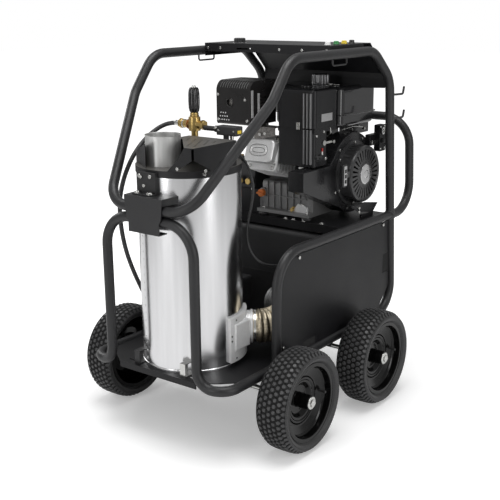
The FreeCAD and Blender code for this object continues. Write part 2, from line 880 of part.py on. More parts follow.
def axle_hanger(side, axle_y):
    """Plate that narrows down from the rail to a round eye."""
    x0 = side * SIDE_X - HANGER_T / 2
    eye_z = TYRE_R
    wide = HANGER_W / 2
    narrow = HANGER_DROP
    plate = prism([
        V(x0, axle_y - wide, BASE_Z), V(x0, axle_y + wide, BASE_Z),
        V(x0, axle_y + narrow, eye_z), V(x0, axle_y - narrow, eye_z)], X_AXIS * HANGER_T)
    eye = rod(narrow, V(x0, axle_y, eye_z), V(x0 + HANGER_T, axle_y, eye_z))
    bore = rod(AXLE_R + SHAFT_PLAY, V(x0, axle_y, eye_z), V(x0 + HANGER_T, axle_y, eye_z))
    return plate.fuse(eye).cut(bore)


def axles():
    """Two through axles with a spacer sleeve at each wheel."""
    solids = []
    hub_in = TRACK_X - HUB_HALF_L
    for axle_y in (-AXLE_Y, AXLE_Y):
        reach = TRACK_X + HUB_HALF_L + NUT_L
        solids.append(rod(AXLE_R, V(-reach, axle_y, TYRE_R), V(reach, axle_y, TYRE_R)))
        for side in SIDES:
            start = V(side * (SIDE_X + HANGER_T / 2), axle_y, TYRE_R)
            end = V(side * (hub_in - SEAT), axle_y, TYRE_R)
            solids.append(pipe(SPACER_R, AXLE_R + SHAFT_PLAY, start, end))
    return group(solids)


def axle_nuts():
    """Domed nut outside each hub."""
    solids = []
    for axle_y in (-AXLE_Y, AXLE_Y):
        for side in SIDES:
            seat = V(side * (TRACK_X + HUB_HALF_L + SEAT), axle_y, TYRE_R)
            hexagon = bolt(seat, X_AXIS * side, NUT_R, NUT_L - SEAT)
            inner = rod(AXLE_R, seat, seat + X_AXIS * side * NUT_L)
            solids.append(hexagon.cut(inner))
    return group(solids)


def tyre():
    """Pneumatic tyre about the X axis at the origin: beads, sidewalls, shoulders and crown."""
    half = TYRE_W / 2
    bead = LIP_HALF_W - RIM_T
    lip_r = LIP_R + 1
    right = [(bead, RIM_R), (bead, lip_r)]
    right += [(half - inward, lip_r + up) for inward, up in TYRE_WALL_STEPS]
    right += [(half - inward, TYRE_R - down) for inward, down in TYRE_SHOULDER_STEPS]
    left = [(-along, radius) for along, radius in reversed(right)]
    return lathe(right + [(0, TYRE_R)] + left, V(0, 0, 0))


def rim():
    """Pressed steel wheel for the +X side: barrel, lips, stepped dish and hub with a bore."""
    t = RIM_T
    lip = LIP_HALF_W
    hub = HUB_HALF_L
    bore = AXLE_R + SHAFT_PLAY
    profile = [
        (-lip, RIM_R - t), (-lip, LIP_R), (-lip + t, LIP_R), (-lip + t, RIM_R), (lip - t, RIM_R),
        (lip - t, LIP_R), (lip, LIP_R), (lip, RIM_R - t), (DISH_X + t, RIM_R - t), (STEP_X + t, STEP_OUT_R),
        (WELL_X + t, WELL_R), (WELL_X + t, HUB_R), (hub, HUB_R), (hub, bore),
        (-hub, bore), (-hub, HUB_R), (WELL_X, HUB_R), (WELL_X, WELL_R + t), (STEP_X, STEP_OUT_R + t),
        (DISH_X, RIM_R - t)]
    return lathe(profile, V(0, 0, 0))


def build_wheels(frame):
    """Base tray, hangers, axles, nuts and four wheels."""
    PARTS["base_tray"] = base_tray(frame)
    PARTS["axles"] = group([axles(), axle_nuts()])
    rubber = tyre()
    steel = rim()
    for end, axle_y in (("front", -AXLE_Y), ("rear", AXLE_Y)):
        for side in SIDES:
            place = V(side * TRACK_X, axle_y, TYRE_R)
            name = end + "_" + SIDE_NAME[side]
            wheel = steel if side > 0 else mirrored(steel)
            PARTS["tyre_" + name] = rubber.translated(place)
            PARTS["rim_" + name] = wheel.translated(place)


def front_bracket():
    """Folded plate box that joins the four front tube ends and carries the drum's clamp."""
    t = BRACKET_T
    face_y = NOSE_Y - TUBE_R
    step_low = BRACKET_STEP_Z - BRACKET_STEP_H
    front = prism([
        V(-BRACKET_TOP_X, face_y - t, BRACKET_TOP_Z), V(BRACKET_TOP_X, face_y - t, BRACKET_TOP_Z),
        V(BRACKET_TOP_X - BRACKET_TAPER, face_y - t, BRACKET_STEP_Z), V(BRACKET_LOW_X, face_y - t, step_low),
        V(BRACKET_LOW_X, face_y - t, BRACKET_LOW_Z), V(-BRACKET_LOW_X, face_y - t, BRACKET_LOW_Z),
        V(-BRACKET_LOW_X, face_y - t, step_low), V(BRACKET_TAPER - BRACKET_TOP_X, face_y - t, BRACKET_STEP_Z),
    ], Y_AXIS * t)
    seat_y = DRUM_Y - math.sqrt(DRUM_R ** 2 - BRACKET_SEAT_X ** 2)
    top = prism([
        V(-BRACKET_TOP_X, face_y - t, BRACKET_TOP_Z), V(BRACKET_TOP_X, face_y - t, BRACKET_TOP_Z),
        V(BRACKET_SEAT_X, seat_y, BRACKET_TOP_Z), V(-BRACKET_SEAT_X, seat_y, BRACKET_TOP_Z)], Z_AXIS * t)
    sole = box(-BRACKET_LOW_X, BRACKET_LOW_X, face_y - t, NOSE_Y + TUBE_R, BRACKET_LOW_Z, BRACKET_LOW_Z + t)
    web = box(-t / 2, t / 2, face_y - t, DRUM_Y, BRACKET_LOW_Z, BRACKET_TOP_Z + t)
    high = BRACKET_TOP_Z + t
    flanges = [prism([
        V(side * BRACKET_TOP_X, face_y - t, high), V(side * BRACKET_SEAT_X, seat_y, high),
        V(side * (BRACKET_SEAT_X - t), seat_y, high), V(side * (BRACKET_TOP_X - t), face_y - t, high)],
        V(0, 0, -BRACKET_LIP)) for side in SIDES]
    drum = rod(DRUM_R, V(0, DRUM_Y, 0), V(0, DRUM_Y, COVER_Z))
    return one([front, top, sole, web] + flanges).cut(drum)


def boiler_clamp():
    """Angle on top of the bracket with a flange back to the drum."""
    z0 = BRACKET_TOP_Z + BRACKET_T
    plate = box(CLAMP_X0, CLAMP_X1, CLAMP_Y, CLAMP_Y + CLAMP_T, z0, CLAMP_TOP_Z)
    foot = box(CLAMP_X0, CLAMP_X1, CLAMP_Y - CLAMP_FOOT_L, CLAMP_Y + CLAMP_T, z0, z0 + CLAMP_T)
    flange = box(CLAMP_X1 - CLAMP_T, CLAMP_X1, CLAMP_Y, CLAMP_Y + CLAMP_FLANGE_L, z0, CLAMP_TOP_Z)
    band = rod(DRUM_R + BAND_T, V(0, DRUM_Y, DRUM_TOP_Z), V(0, DRUM_Y, COVER_Z))
    drum = rod(DRUM_R, V(0, DRUM_Y, 0), V(0, DRUM_Y, COVER_Z))
    return one([plate, foot, flange]).cut(band).cut(drum)


def drum_body(radius):
    """Round block on the drum's axis, from the tray to the cover's top."""
    return rod(radius, V(0, DRUM_Y, TRAY_TOP_Z), V(0, DRUM_Y, COVER_Z))


def foot_ring():
    """Wider ring at the drum's foot."""
    return rod(DRUM_RING_R, V(0, DRUM_Y, TRAY_TOP_Z), V(0, DRUM_Y, TRAY_TOP_Z + DRUM_RING_H))


def drum_shell():
    """Closed boiler drum with its foot ring, and the water inlet's elbow on its left."""
    drum = rod(DRUM_R, V(0, DRUM_Y, TRAY_TOP_Z), V(0, DRUM_Y, DRUM_TOP_Z)).fuse(foot_ring())
    x = -DRUM_R - INLET_OUT
    corners = [V(0, DRUM_Y, INLET_Z0), V(x, INLET_Y, INLET_Z0), V(x, INLET_Y, INLET_Z1)]
    elbow = bent_rod(corners, [INLET_BEND_R], PORT_R)
    return group([drum, elbow.cut(drum_body(DRUM_R))])


def boiler_cover():
    """Folded black cover over the drum: band, lid, flat top, sloped side and walls round a recess."""
    z = COVER_Z
    rim_z = DRUM_TOP_Z + BAND_H
    band = pipe(DRUM_R + BAND_T, DRUM_R, V(0, DRUM_Y, DRUM_TOP_Z), V(0, DRUM_Y, rim_z))
    lid = rod(DRUM_R + BAND_T, V(0, DRUM_Y, rim_z - SHEET), V(0, DRUM_Y, rim_z))
    front = COVER_FRONT_Y
    back = COVER_BACK_Y
    right = COVER_RIGHT_X
    ridge = COVER_RIDGE_X
    left = COVER_LEFT_X
    top = box(ridge, right, front, back, z - SHEET, z)
    slope = prism([
        V(ridge, front, z), V(left, COVER_LEFT_Y, COVER_LEFT_Z), V(left, back, COVER_LEFT_Z),
        V(ridge, back, z)], V(0, 0, -SHEET))
    right_wall = prism([
        V(right, front, z), V(right, back, z), V(right, back, rim_z), V(right, COVER_CHAMFER_Y, rim_z),
        V(right, front, COVER_CHAMFER_Z)], V(-SHEET, 0, 0))
    front_wall = prism([
        V(right, front, z), V(RECESS_TOP_X, front, z), V(RECESS_MID_X, front, z - RECESS_MID_DROP),
        V(RECESS_LOW_X, front, rim_z), V(COVER_CHAMFER_X, front, rim_z),
        V(right, front, COVER_CHAMFER_Z)], V(0, SHEET, 0))
    facet = prism([
        V(ridge, front, z), V(left, COVER_LEFT_Y, COVER_LEFT_Z), V(left, COVER_LEFT_Y, rim_z),
        V(ridge, front, rim_z)], V(0, SHEET, 0))
    left_wall = box(left, left + SHEET, COVER_LEFT_Y, back, rim_z - SHEET, COVER_LEFT_Z - 1)
    back_wall = prism([
        V(right, back, z), V(ridge, back, z), V(left, back, COVER_LEFT_Z), V(left, back, rim_z),
        V(right, back, rim_z)], V(0, -SHEET, 0))
    recess = stack_recess()
    vents = group(cover_vents())
    roof = top.fuse(slope).cut(recess).cut(vents)
    shell = one([band, lid, roof, right_wall, front_wall, facet, left_wall, back_wall])
    return shell.cut(wedge_notch())


def stack_recess():
    """Open recess in the cover's roof: round behind the stack, straight out to the front wall."""
    low = COVER_LEFT_Z - 2 * SHEET
    high = COVER_Z + 1
    front = COVER_FRONT_Y - 1
    round_end = rod(RECESS_R, V(STACK_X, STACK_Y, low), V(STACK_X, STACK_Y, high))
    to_right = tangent_point(V(RECESS_TOP_X, front, 0), 1)
    to_left = tangent_point(V(COVER_RIDGE_X, front, 0), -1)
    mouth = prism([
        V(RECESS_TOP_X, front, low), V(to_right.x, to_right.y, low), V(STACK_X, STACK_Y, low),
        V(to_left.x, to_left.y, low), V(COVER_RIDGE_X, front, low)], Z_AXIS * (high - low))
    return round_end.fuse(mouth)


def tangent_point(outside, side):
    """Where a line from a point outside touches the recess's round end."""
    centre = V(STACK_X, STACK_Y, 0)
    away = outside - centre
    turn = math.atan2(away.y, away.x) + side * math.acos(RECESS_R / away.Length)
    return centre + V(math.cos(turn), math.sin(turn), 0) * RECESS_R


def recess_edge_x(y):
    """X of the recess's straight right edge at a depth."""
    touch = tangent_point(V(RECESS_TOP_X, COVER_FRONT_Y, 0), 1)
    share = (y - COVER_FRONT_Y) / (touch.y - COVER_FRONT_Y)
    return RECESS_TOP_X + (touch.x - RECESS_TOP_X) * min(share, 1)


def wedge_notch():
    """Open gap down the cover's front right corner."""
    x = COVER_RIGHT_X
    y = COVER_FRONT_Y
    low = DRUM_TOP_Z + BAND_H
    return box(x - COVER_GAP, x + 1, y - 1, y - 1 + COVER_GAP, low, COVER_Z - SHEET)


def cover_vents():
    """Rows of short slots through the cover's top, shifted from row to row, right of the recess."""
    slots = []
    half = VENT_W / 2
    for row in range(VENT_ROWS):
        y = COVER_FRONT_Y + VENT_INSET_Y + row * VENT_PITCH_Y
        for col in range(VENT_COLS):
            x = COVER_RIGHT_X - VENT_INSET_X - (col + row % 2 / 2) * VENT_PITCH_X
            if x > recess_edge_x(y) + VENT_EDGE:
                slots.append(box(x - half, x + half, y, y + VENT_L, COVER_Z - 2 * SHEET, COVER_Z + 1))
    return slots


def exhaust_stack():
    """Open stack that stands on the lid of the drum."""
    z0 = DRUM_TOP_Z + BAND_H
    return pipe(STACK_R, STACK_R - STACK_T, V(STACK_X, STACK_Y, z0), V(STACK_X, STACK_Y, STACK_TOP_Z))


def foot_clips():
    """Two clips that hold the drum's ring down on the tray."""
    clips = []
    half = CLIP_W / 2
    top = TRAY_TOP_Z + CLIP_H
    wall = CLIP_T
    for side in SIDES:
        x = side * CLIP_X
        y = DRUM_Y - math.sqrt(DRUM_R ** 2 - CLIP_X ** 2)
        front = y - CLIP_REACH
        block = box(x - half, x + half, front, y + half, TRAY_TOP_Z, top)
        hollow = box(x - half - 1, x + half + 1, front + wall, y + half + 1, TRAY_TOP_Z + wall, top - wall)
        clips.append(block.cut(hollow).cut(drum_body(DRUM_R)).cut(foot_ring()))
    return group(clips)


def build_boiler():
    """Bracket, clamp, drum, coil, cover, stack and foot clips."""
    PARTS["front_bracket"] = front_bracket().cut(group([PARTS["frame_tube_right"], PARTS["frame_tube_left"]]))
    PARTS["boiler_clamp"] = boiler_clamp()
    PARTS["drum_shell"] = drum_shell()
    PARTS["boiler_cover"] = boiler_cover()
    PARTS["exhaust_stack"] = exhaust_stack()
    PARTS["drum_foot_clips"] = foot_clips()


def burner_cover():
    """Cast burner mount: curved flange on the drum, raised box and a round port for the duct."""
    height = Z_AXIS * (BURNER_TOP_Z - BURNER_LOW_Z)
    foot = V(0, DRUM_Y, BURNER_LOW_Z)
    arms = [V(math.cos(math.radians(angle)), math.sin(math.radians(angle)), 0) * BURNER_R * 1.5
            for angle in (BURNER_ANGLE_0, (BURNER_ANGLE_0 + BURNER_ANGLE_1) / 2, BURNER_ANGLE_1)]
    sector = prism([foot] + [foot + arm for arm in arms], height)
    flange = rod(BURNER_R, foot, foot + height).common(sector)
    raised = box(0, BURNER_BOX_X, BURNER_BOX_Y0, BURNER_BOX_Y1, BURNER_BOX_Z0, BURNER_BOX_Z1)
    raised = rounded(raised, BURNER_BOX_ROUND, lambda edge: edge.CenterOfMass.x > BURNER_BOX_X - 1)
    mouth, way = duct_station(0)
    port = rod(DUCT_R - DUCT_RIB, V(0, DRUM_Y, DUCT_Z), mouth)
    bore = rod(DUCT_BORE_R, mouth - way * DUCT_COLLAR, mouth)
    return one([flange, raised, port]).cut(bore).cut(drum_body(DRUM_R)).cut(foot_ring())


def duct_station(along):
    """Point and direction on the duct's centre line: out from the drum, round and back to the blower."""
    aim = math.radians(DUCT_AIM)
    out = V(math.cos(aim), math.sin(aim), 0)
    start = V(0, DRUM_Y, DUCT_Z) + out * DUCT_START_R
    if along <= DUCT_LEAD:
        return start + out * along, out
    pivot = start + out * DUCT_LEAD + V(-out.y, out.x, 0) * DUCT_TURN_R
    whole = math.pi / 2 - aim
    heading = aim + min((along - DUCT_LEAD) / DUCT_TURN_R, whole)
    way = V(math.cos(heading), math.sin(heading), 0)
    rest = max(along - DUCT_LEAD - whole * DUCT_TURN_R, 0)
    return pivot + V(way.y, -way.x, 0) * DUCT_TURN_R + way * rest, way


def duct_ring(along, radius):
    """Circle across the duct's centre line."""
    point, way = duct_station(along)
    return Part.Wire(Part.Circle(point, way, radius).toShape())


def air_duct():
    """Ribbed bent hose from the burner to the blower: plain collar, ribs, plain collar."""
    valley = DUCT_R - DUCT_RIB
    pitch = (DUCT_L - 2 * DUCT_COLLAR) / DUCT_RIBS
    rings = [duct_ring(0, valley), duct_ring(DUCT_COLLAR, valley)]
    for rib in range(DUCT_RIBS):
        start = DUCT_COLLAR + rib * pitch
        rings.append(duct_ring(start + pitch / 2, DUCT_R))
        rings.append(duct_ring(start + pitch, valley))
    rings.append(duct_ring(DUCT_L, valley))
    skin = Part.makeLoft(rings, True, True)
    first, way = duct_station(0)
    turn, _ = duct_station(DUCT_LEAD)
    last, _ = duct_station(DUCT_L)
    corner = turn + way * DUCT_TURN_R * math.tan((math.pi / 2 - math.radians(DUCT_AIM)) / 2)
    core = bent_rod([first - way, corner, last + Y_AXIS], [DUCT_TURN_R], DUCT_BORE_R)
    return skin.cut(core)


def burner_blower():
    """Fan housing with an outlet flange towards the duct and a motor on its side, on a foot."""
    mouth, way = duct_station(DUCT_L)
    y0 = mouth.y
    x0 = BLOWER_X
    x1 = BLOWER_X + BLOWER_W
    centre = V(x0, y0 + BLOWER_R + BLOWER_FLANGE_T, BLOWER_Z)
    scroll = rod(BLOWER_R, centre, centre + X_AXIS * BLOWER_W)
    outlet = box(x0, x1, y0, centre.y, BLOWER_OUTLET_Z0, BLOWER_OUTLET_Z1)
    flange = rod(DUCT_R, mouth, mouth + way * BLOWER_R)
    motor = rod(BLOWER_MOTOR_R, centre - X_AXIS * BLOWER_MOTOR_L, centre)
    foot = box(x0 + BLOWER_FOOT_IN, x1 - BLOWER_FOOT_IN, centre.y - BLOWER_FOOT_HALF,
               centre.y + BLOWER_FOOT_HALF, TRAY_TOP_Z, BLOWER_Z)
    return one([scroll, outlet, flange, motor, foot])


def oil_tank():
    """Moulded burner fuel tank on the tray with its filler cap."""
    z0 = TRAY_TOP_Z
    body = box(-OIL_TANK_X, OIL_TANK_X, OIL_TANK_Y0, OIL_TANK_Y1, z0, z0 + OIL_TANK_H)
    body = rounded(body, OIL_TANK_ROUND, runs_along(Z_AXIS))
    body = rounded(body, OIL_TANK_TOP_ROUND, lambda edge: edge.CenterOfMass.z > z0 + OIL_TANK_H - 1)
    neck = V(OIL_CAP_IN_X - OIL_TANK_X, OIL_TANK_Y0 + OIL_CAP_IN_Y, z0 + OIL_TANK_H)
    return body.fuse(rod(OIL_CAP_R, neck - Z_AXIS, neck + Z_AXIS * OIL_CAP_H))


def battery():
    """Starting battery with two posts."""
    z0 = TRAY_TOP_Z
    top = z0 + BATTERY_H
    lip = BATTERY_LIP
    y = BATTERY_Y0 + POLE_IN_Y
    body = box(BATTERY_X0, BATTERY_X1, BATTERY_Y0, BATTERY_Y1, z0, top)
    lid = box(BATTERY_X0 - lip, BATTERY_X1 + lip, BATTERY_Y0 - lip, BATTERY_Y1 + lip,
              top - BATTERY_LID_LOW, top - BATTERY_LID_TOP)
    posts = [rod(POLE_R, V(x, y, top - 1), V(x, y, top + POLE_H))
             for x in (BATTERY_X0 + POLE_IN_X, BATTERY_X1 - POLE_IN_X)]
    return one([body, lid] + posts)


def build_tray_parts():
    """What stands on the tray behind the drum."""
    PARTS["burner_cover"] = burner_cover()
    PARTS["air_duct"] = air_duct()
    PARTS["burner_blower"] = burner_blower()
    PARTS["burner_fuel_tank"] = oil_tank()
    PARTS["battery"] = battery()


def side_panel():
    """Right closing sheet inside the panel tube, with two notches."""
    x = SIDE_X
    front = PANEL_TUBE_Y + TUBE_R + SEAT
    top = PANEL_TUBE_Z - TUBE_R - PANEL_TOP_GAP
    low = BASE_Z + TUBE_R + SEAT
    back_top = post_y(top) - TUBE_R - PANEL_POST_GAP_TOP
    back_low = post_y(low) - TUBE_R - PANEL_POST_GAP_LOW
    corner_y = back_low - PANEL_CORNER_IN
    inner_r = PANEL_BEND_R - TUBE_R - PANEL_TOP_GAP
    sag = inner_r * (1 - math.sqrt(0.5))
    outline = Part.Wire([
        Part.LineSegment(V(x, front, low), V(x, front, top - inner_r)).toShape(),
        Part.Arc(V(x, front, top - inner_r),
                 V(x, front + sag, top - sag),
                 V(x, front + inner_r, top)).toShape(),
        Part.LineSegment(V(x, front + inner_r, top), V(x, back_top, top)).toShape(),
        Part.LineSegment(V(x, back_top, top), V(x, corner_y, low + PANEL_CORNER_H)).toShape(),
        Part.LineSegment(V(x, corner_y, low + PANEL_CORNER_H),
                         V(x, corner_y - PANEL_CORNER_L, low)).toShape(),
        Part.LineSegment(V(x, corner_y - PANEL_CORNER_L, low), V(x, front, low)).toShape()])
    sheet = Part.Face(outline).extrude(X_AXIS * PANEL_T)
    side_notch = box(x - 1, x + PANEL_T + 1, back_top - REAR_NOTCH_L, back_top + REAR_NOTCH_L,
                     REAR_NOTCH_Z0, REAR_NOTCH_Z1)
    low_notch = box(x - 1, x + PANEL_T + 1, LOW_NOTCH_Y0, LOW_NOTCH_Y0 + LOW_NOTCH_L,
                    low - 1, low + LOW_NOTCH_H)
    return sheet.cut(group([side_notch, low_notch]))


def engine_platform(frame):
    """Folded platform sheet between the side tubes, with its front lip."""
    z = PLATFORM_Z
    sheet = box(-SIDE_X, SIDE_X, PLATFORM_Y0, PLATFORM_Y1, z - PLATFORM_T, z)
    lip = box(-SIDE_X, SIDE_X, PLATFORM_Y0, PLATFORM_Y0 + PLATFORM_T, z - PLATFORM_LIP, z)
    back_half = SIDE_X - PLATFORM_BACK_IN
    back = box(-back_half, back_half, PLATFORM_Y1 - PLATFORM_T, PLATFORM_Y1, z - PLATFORM_LIP, z)
    ribs = [box(x, x + PLATFORM_T, PLATFORM_Y0, PLATFORM_Y1, z - PLATFORM_LIP, z)
            for x in (-PLATFORM_RIB_X, PLATFORM_RIB_X)]
    return one([sheet, lip, back] + ribs).cut(PARTS["panel_tubes"]).cut(frame)


def build_sheets(frame):
    """Side panels, platform and console."""
    right = side_panel()
    PARTS["side_panels"] = group([right, mirrored(right)])
    PARTS["engine_platform"] = engine_platform(frame)
    PARTS["top_console"] = one([top_console(), rear_sheet()])
    PARTS["spray_nozzles"] = spray_nozzles()
    PARTS["thermostat_knob"] = thermostat_knob()
    PARTS["wire_hooks"] = wire_hooks()


def console_half():
    """Half width of the sheet between the rails."""
    return SIDE_X - TUBE_R - SEAT


def top_console():
    """Folded top sheet between the rails with a front lip and side flanges."""
    half = console_half()
    z = CONSOLE_TOP_Z
    top = box(-half, half, CONSOLE_Y0, CONSOLE_SLOPE_Y, z - SHEET, z)
    lip = box(-half, half, CONSOLE_Y0, CONSOLE_Y0 + SHEET, CONSOLE_LIP_Z, z)
    flanges = [box(min(side * half, side * (half - SHEET)), max(side * half, side * (half - SHEET)),
                   CONSOLE_Y0, RAIL_REAR_Y - CONSOLE_FLANGE_END, z - CONSOLE_FLANGE, z) for side in SIDES]
    below = z - 2 * SHEET
    above = z + SHEET
    holes = [rod(NOZZLE_STEM_R + SEAT, V(NOZZLE_X, y, below), V(NOZZLE_X, y, above)) for y in NOZZLE_Y]
    slot_z = CONSOLE_LIP_Z + CONSOLE_SLOT_UP
    slot = box(CONSOLE_SLOT_X0, CONSOLE_SLOT_X0 + CONSOLE_SLOT_L, CONSOLE_Y0 - 1, CONSOLE_Y0 + SHEET + 1,
               slot_z, slot_z + CONSOLE_SLOT_H)
    spindle = rod(DIAL_SPINDLE_R + SHAFT_PLAY, V(DIAL_X, DIAL_Y, below), V(DIAL_X, DIAL_Y, above))
    return one([top, lip] + flanges).cut(group(holes + [slot, spindle]))


def rear_sheet():
    """Sloped rear sheet from the console's back edge down to its lower lip."""
    half = console_half()
    z = CONSOLE_TOP_Z
    profile = [
        V(-half, CONSOLE_SLOPE_Y, z), V(-half, CONSOLE_BACK_Y, CONSOLE_BACK_Z),
        V(-half, CONSOLE_BACK_Y - REAR_LIP_BACK, CONSOLE_LOW_Z),
        V(-half, CONSOLE_BACK_Y - REAR_LIP_BACK - SHEET, CONSOLE_LOW_Z),
        V(-half, CONSOLE_BACK_Y - 1.2 * SHEET, CONSOLE_BACK_Z - SHEET / 2),
        V(-half, CONSOLE_SLOPE_Y, z - REAR_SHEET_T)]
    return prism(profile, X_AXIS * 2 * half)


def spray_nozzles():
    """Four push-in nozzles standing in the console."""
    solids = []
    for y in NOZZLE_Y:
        seat = V(NOZZLE_X, y, CONSOLE_TOP_Z)
        head = rod(NOZZLE_R, seat, seat + Z_AXIS * NOZZLE_HEAD)
        stem = rod(NOZZLE_STEM_R, seat - Z_AXIS * NOZZLE_STEM, seat)
        solids.append(head.fuse(stem))
    return group(solids)


def thermostat_knob():
    """Ridged knob on a spindle through the console."""
    seat = V(DIAL_X, DIAL_Y, CONSOLE_TOP_Z + SEAT)
    knob = rod(DIAL_R, seat, seat + Z_AXIS * DIAL_H)
    grooves = []
    for step in range(DIAL_GROOVES):
        turn = 2 * math.pi * step / DIAL_GROOVES
        centre = seat + V(math.cos(turn), math.sin(turn), 0) * (DIAL_R + DIAL_GROOVE_OUT)
        grooves.append(rod(DIAL_GROOVE_R, centre, centre + Z_AXIS * DIAL_H))
    spindle = rod(DIAL_SPINDLE_R, seat - Z_AXIS * DIAL_SPINDLE_L, seat)
    return knob.cut(group(grooves)).fuse(spindle)


def wire_hooks():
    """Bent wire: a U-loop under each rail and two hose hooks behind the right post."""
    solids = []
    low = RAIL_Z - LOOP_DROP
    for side in SIDES:
        x = side * SIDE_X
        corners = [V(x, LOOP_Y0, RAIL_Z), V(x, LOOP_Y0, low), V(x, LOOP_Y1, low), V(x, LOOP_Y1, RAIL_Z)]
        solids.append(bent_rod(corners, [LOOP_BEND_R, LOOP_BEND_R], WIRE_R))
    for z in REAR_HOOK_Z:
        y = post_y(z)
        corners = [
            V(SIDE_X, y, z), V(SIDE_X, y + REAR_HOOK_L, z - REAR_HOOK_SAG),
            V(SIDE_X, y + REAR_HOOK_TIP, z + REAR_HOOK_UP)]
        solids.append(bent_rod(corners, [REAR_HOOK_BEND_R], REAR_HOOK_R))
    frame = group([PARTS["frame_tube_right"], PARTS["frame_tube_left"]])
    return group([solid.cut(frame) for solid in solids])


def crankcase():
    """Cast case round the crankshaft with a flanged foot, a sump and mounting feet."""
    block = box(CASE_X0, CASE_X1, CASE_Y0, CASE_Y1 - CASE_BACK, CASE_Z0, CRANK_Z - CASE_BLOCK_DROP)
    block = rounded(block, CASE_ROUND, runs_along(X_AXIS))
    barrel = rod(CASE_R, V(CASE_X0, CRANK_Y, CRANK_Z), V(CASE_X1, CRANK_Y, CRANK_Z))
    flange = box(CASE_X0 - CASE_FOOT_LEFT, CASE_X1, CASE_Y0 - CASE_EAR, CASE_Y1 - CASE_FOOT_BACK,
                 CASE_Z0, CASE_Z0 + CASE_FLANGE)
    feet = [rod(MOUNT_R, V(x, y, PLATFORM_Z), V(x, y, CASE_Z0 + MOUNT_SINK)) for x, y in mount_points()]
    cover = rod(CASE_R - CASE_COVER_IN, V(CASE_X0 - 1, CRANK_Y, CRANK_Z), V(CASE_X0, CRANK_Y, CRANK_Z))
    shaft_bore = rod(CRANK_R + SHAFT_PLAY, V(CASE_X1 - CRANK_L, CRANK_Y, CRANK_Z),
                     V(CASE_X1 + 1, CRANK_Y, CRANK_Z))
    mouth = V(DIPSTICK_X, CASE_Y0 - SPOUT_L, DIPSTICK_Z)
    spout = rod(DIPSTICK_R + SPOUT_T, mouth + Y_AXIS * (SPOUT_L + SPOUT_ROOT), mouth)
    well = rod(STICK_R, mouth + Y_AXIS * (SPOUT_L + STICK_L), mouth)
    return one([block, barrel, flange, cover, spout] + feet).cut(shaft_bore).cut(well)


def mount_points():
    """Plan positions of the four engine mounts, on the ears of the case's foot flange."""
    xs = (CASE_X0 + MOUNT_LEFT, CASE_X1 - MOUNT_RIGHT)
    ys = (CASE_Y0 - CASE_EAR / 2, CASE_Y1 - CASE_BACK + MOUNT_BACK)
    return tuple((x, y) for x in xs for y in ys)


def along_cylinder(shape):
    """Moves a piece from the crank centre's own axes (-Y out along the bore) to its tilt."""
    tilted = shape.copy()
    tilted.rotate(V(0, 0, 0), X_AXIS, -CYL_TILT)
    return tilted.translated(V(CYL_X, CRANK_Y, CRANK_Z))


def cylinder():
    """Finned cylinder and head, tilted forward from the crankcase."""
    half_w = CYL_W / 2
    half_h = CYL_H / 2
    core = box(FIN_DEPTH - half_w, half_w - FIN_DEPTH, -CYL_END, CYL_ROOT - CYL_START,
               FIN_DEPTH - half_h, half_h - FIN_DEPTH)
    pitch = (CYL_END - CYL_START) / FIN_COUNT
    fins = []
    for number in range(FIN_COUNT):
        y = -CYL_END + number * pitch
        fin = box(-half_w, half_w, y, y + FIN_T, -half_h, half_h)
        fins.append(rounded(fin, FIN_ROUND, runs_along(Y_AXIS)))
    head = box(HEAD_PLATE_IN_X - half_w, half_w - HEAD_PLATE_IN_X, -CYL_END, HEAD_PLATE_T - CYL_END,
               HEAD_PLATE_IN_Z - half_h, half_h - HEAD_PLATE_IN_Z)
    casting = along_cylinder(one([core, head] + fins))
    case = rod(CASE_R, V(CASE_X0, CRANK_Y, CRANK_Z), V(CASE_X1, CRANK_Y, CRANK_Z))
    return casting.cut(case)


def valve_cover():
    """Pressed rocker cover with a wide flange, on the end of the head."""
    half_w = VALVE_W / 2
    half_h = VALVE_H / 2
    wide = half_w + VALVE_FLANGE_OUT
    tall = half_h + VALVE_FLANGE_OUT
    flange = box(-wide, wide, -CYL_END - VALVE_FLANGE_T, -CYL_END, -tall, tall)
    flange = rounded(flange, VALVE_FLANGE_ROUND, runs_along(Y_AXIS))
    dome = box(-half_w, half_w, -CYL_END - VALVE_L, 1 - CYL_END - VALVE_FLANGE_T, -half_h, half_h)
    dome = rounded(dome, VALVE_SIDE_ROUND, runs_along(Y_AXIS))
    dome = rounded(dome, VALVE_ROUND, lambda edge: edge.CenterOfMass.y < -CYL_END - VALVE_L + 1)
    return along_cylinder(flange.fuse(dome))


def shroud_outline(x, inset):
    """Outline of the blower housing: round over the fan, drawn out to the cylinder."""
    r = SHROUD_R - inset
    centre = V(x, CRANK_Y, CRANK_Z)
    disc = Part.Face(Part.Wire(Part.Circle(centre, X_AXIS, r).toShape()))
    top = math.radians(SHROUD_WING_TOP)
    low = math.radians(SHROUD_WING_LOW)
    wing = Part.Face(Part.makePolygon([
        centre + V(0, math.cos(top), math.sin(top)) * r,
        V(x, CLEANER_BASE_Y1 + SHROUD_WING_GAP + inset, SHROUD_NOSE_Z1 - inset),
        V(x, SHROUD_NOSE_Y + inset, SHROUD_NOSE_Z1 - inset),
        V(x, SHROUD_NOSE_Y + inset, SHROUD_NOSE_Z0 + inset),
        centre + V(0, math.cos(low), math.sin(low)) * r,
        centre, centre + V(0, math.cos(top), math.sin(top)) * r]))
    return disc, wing


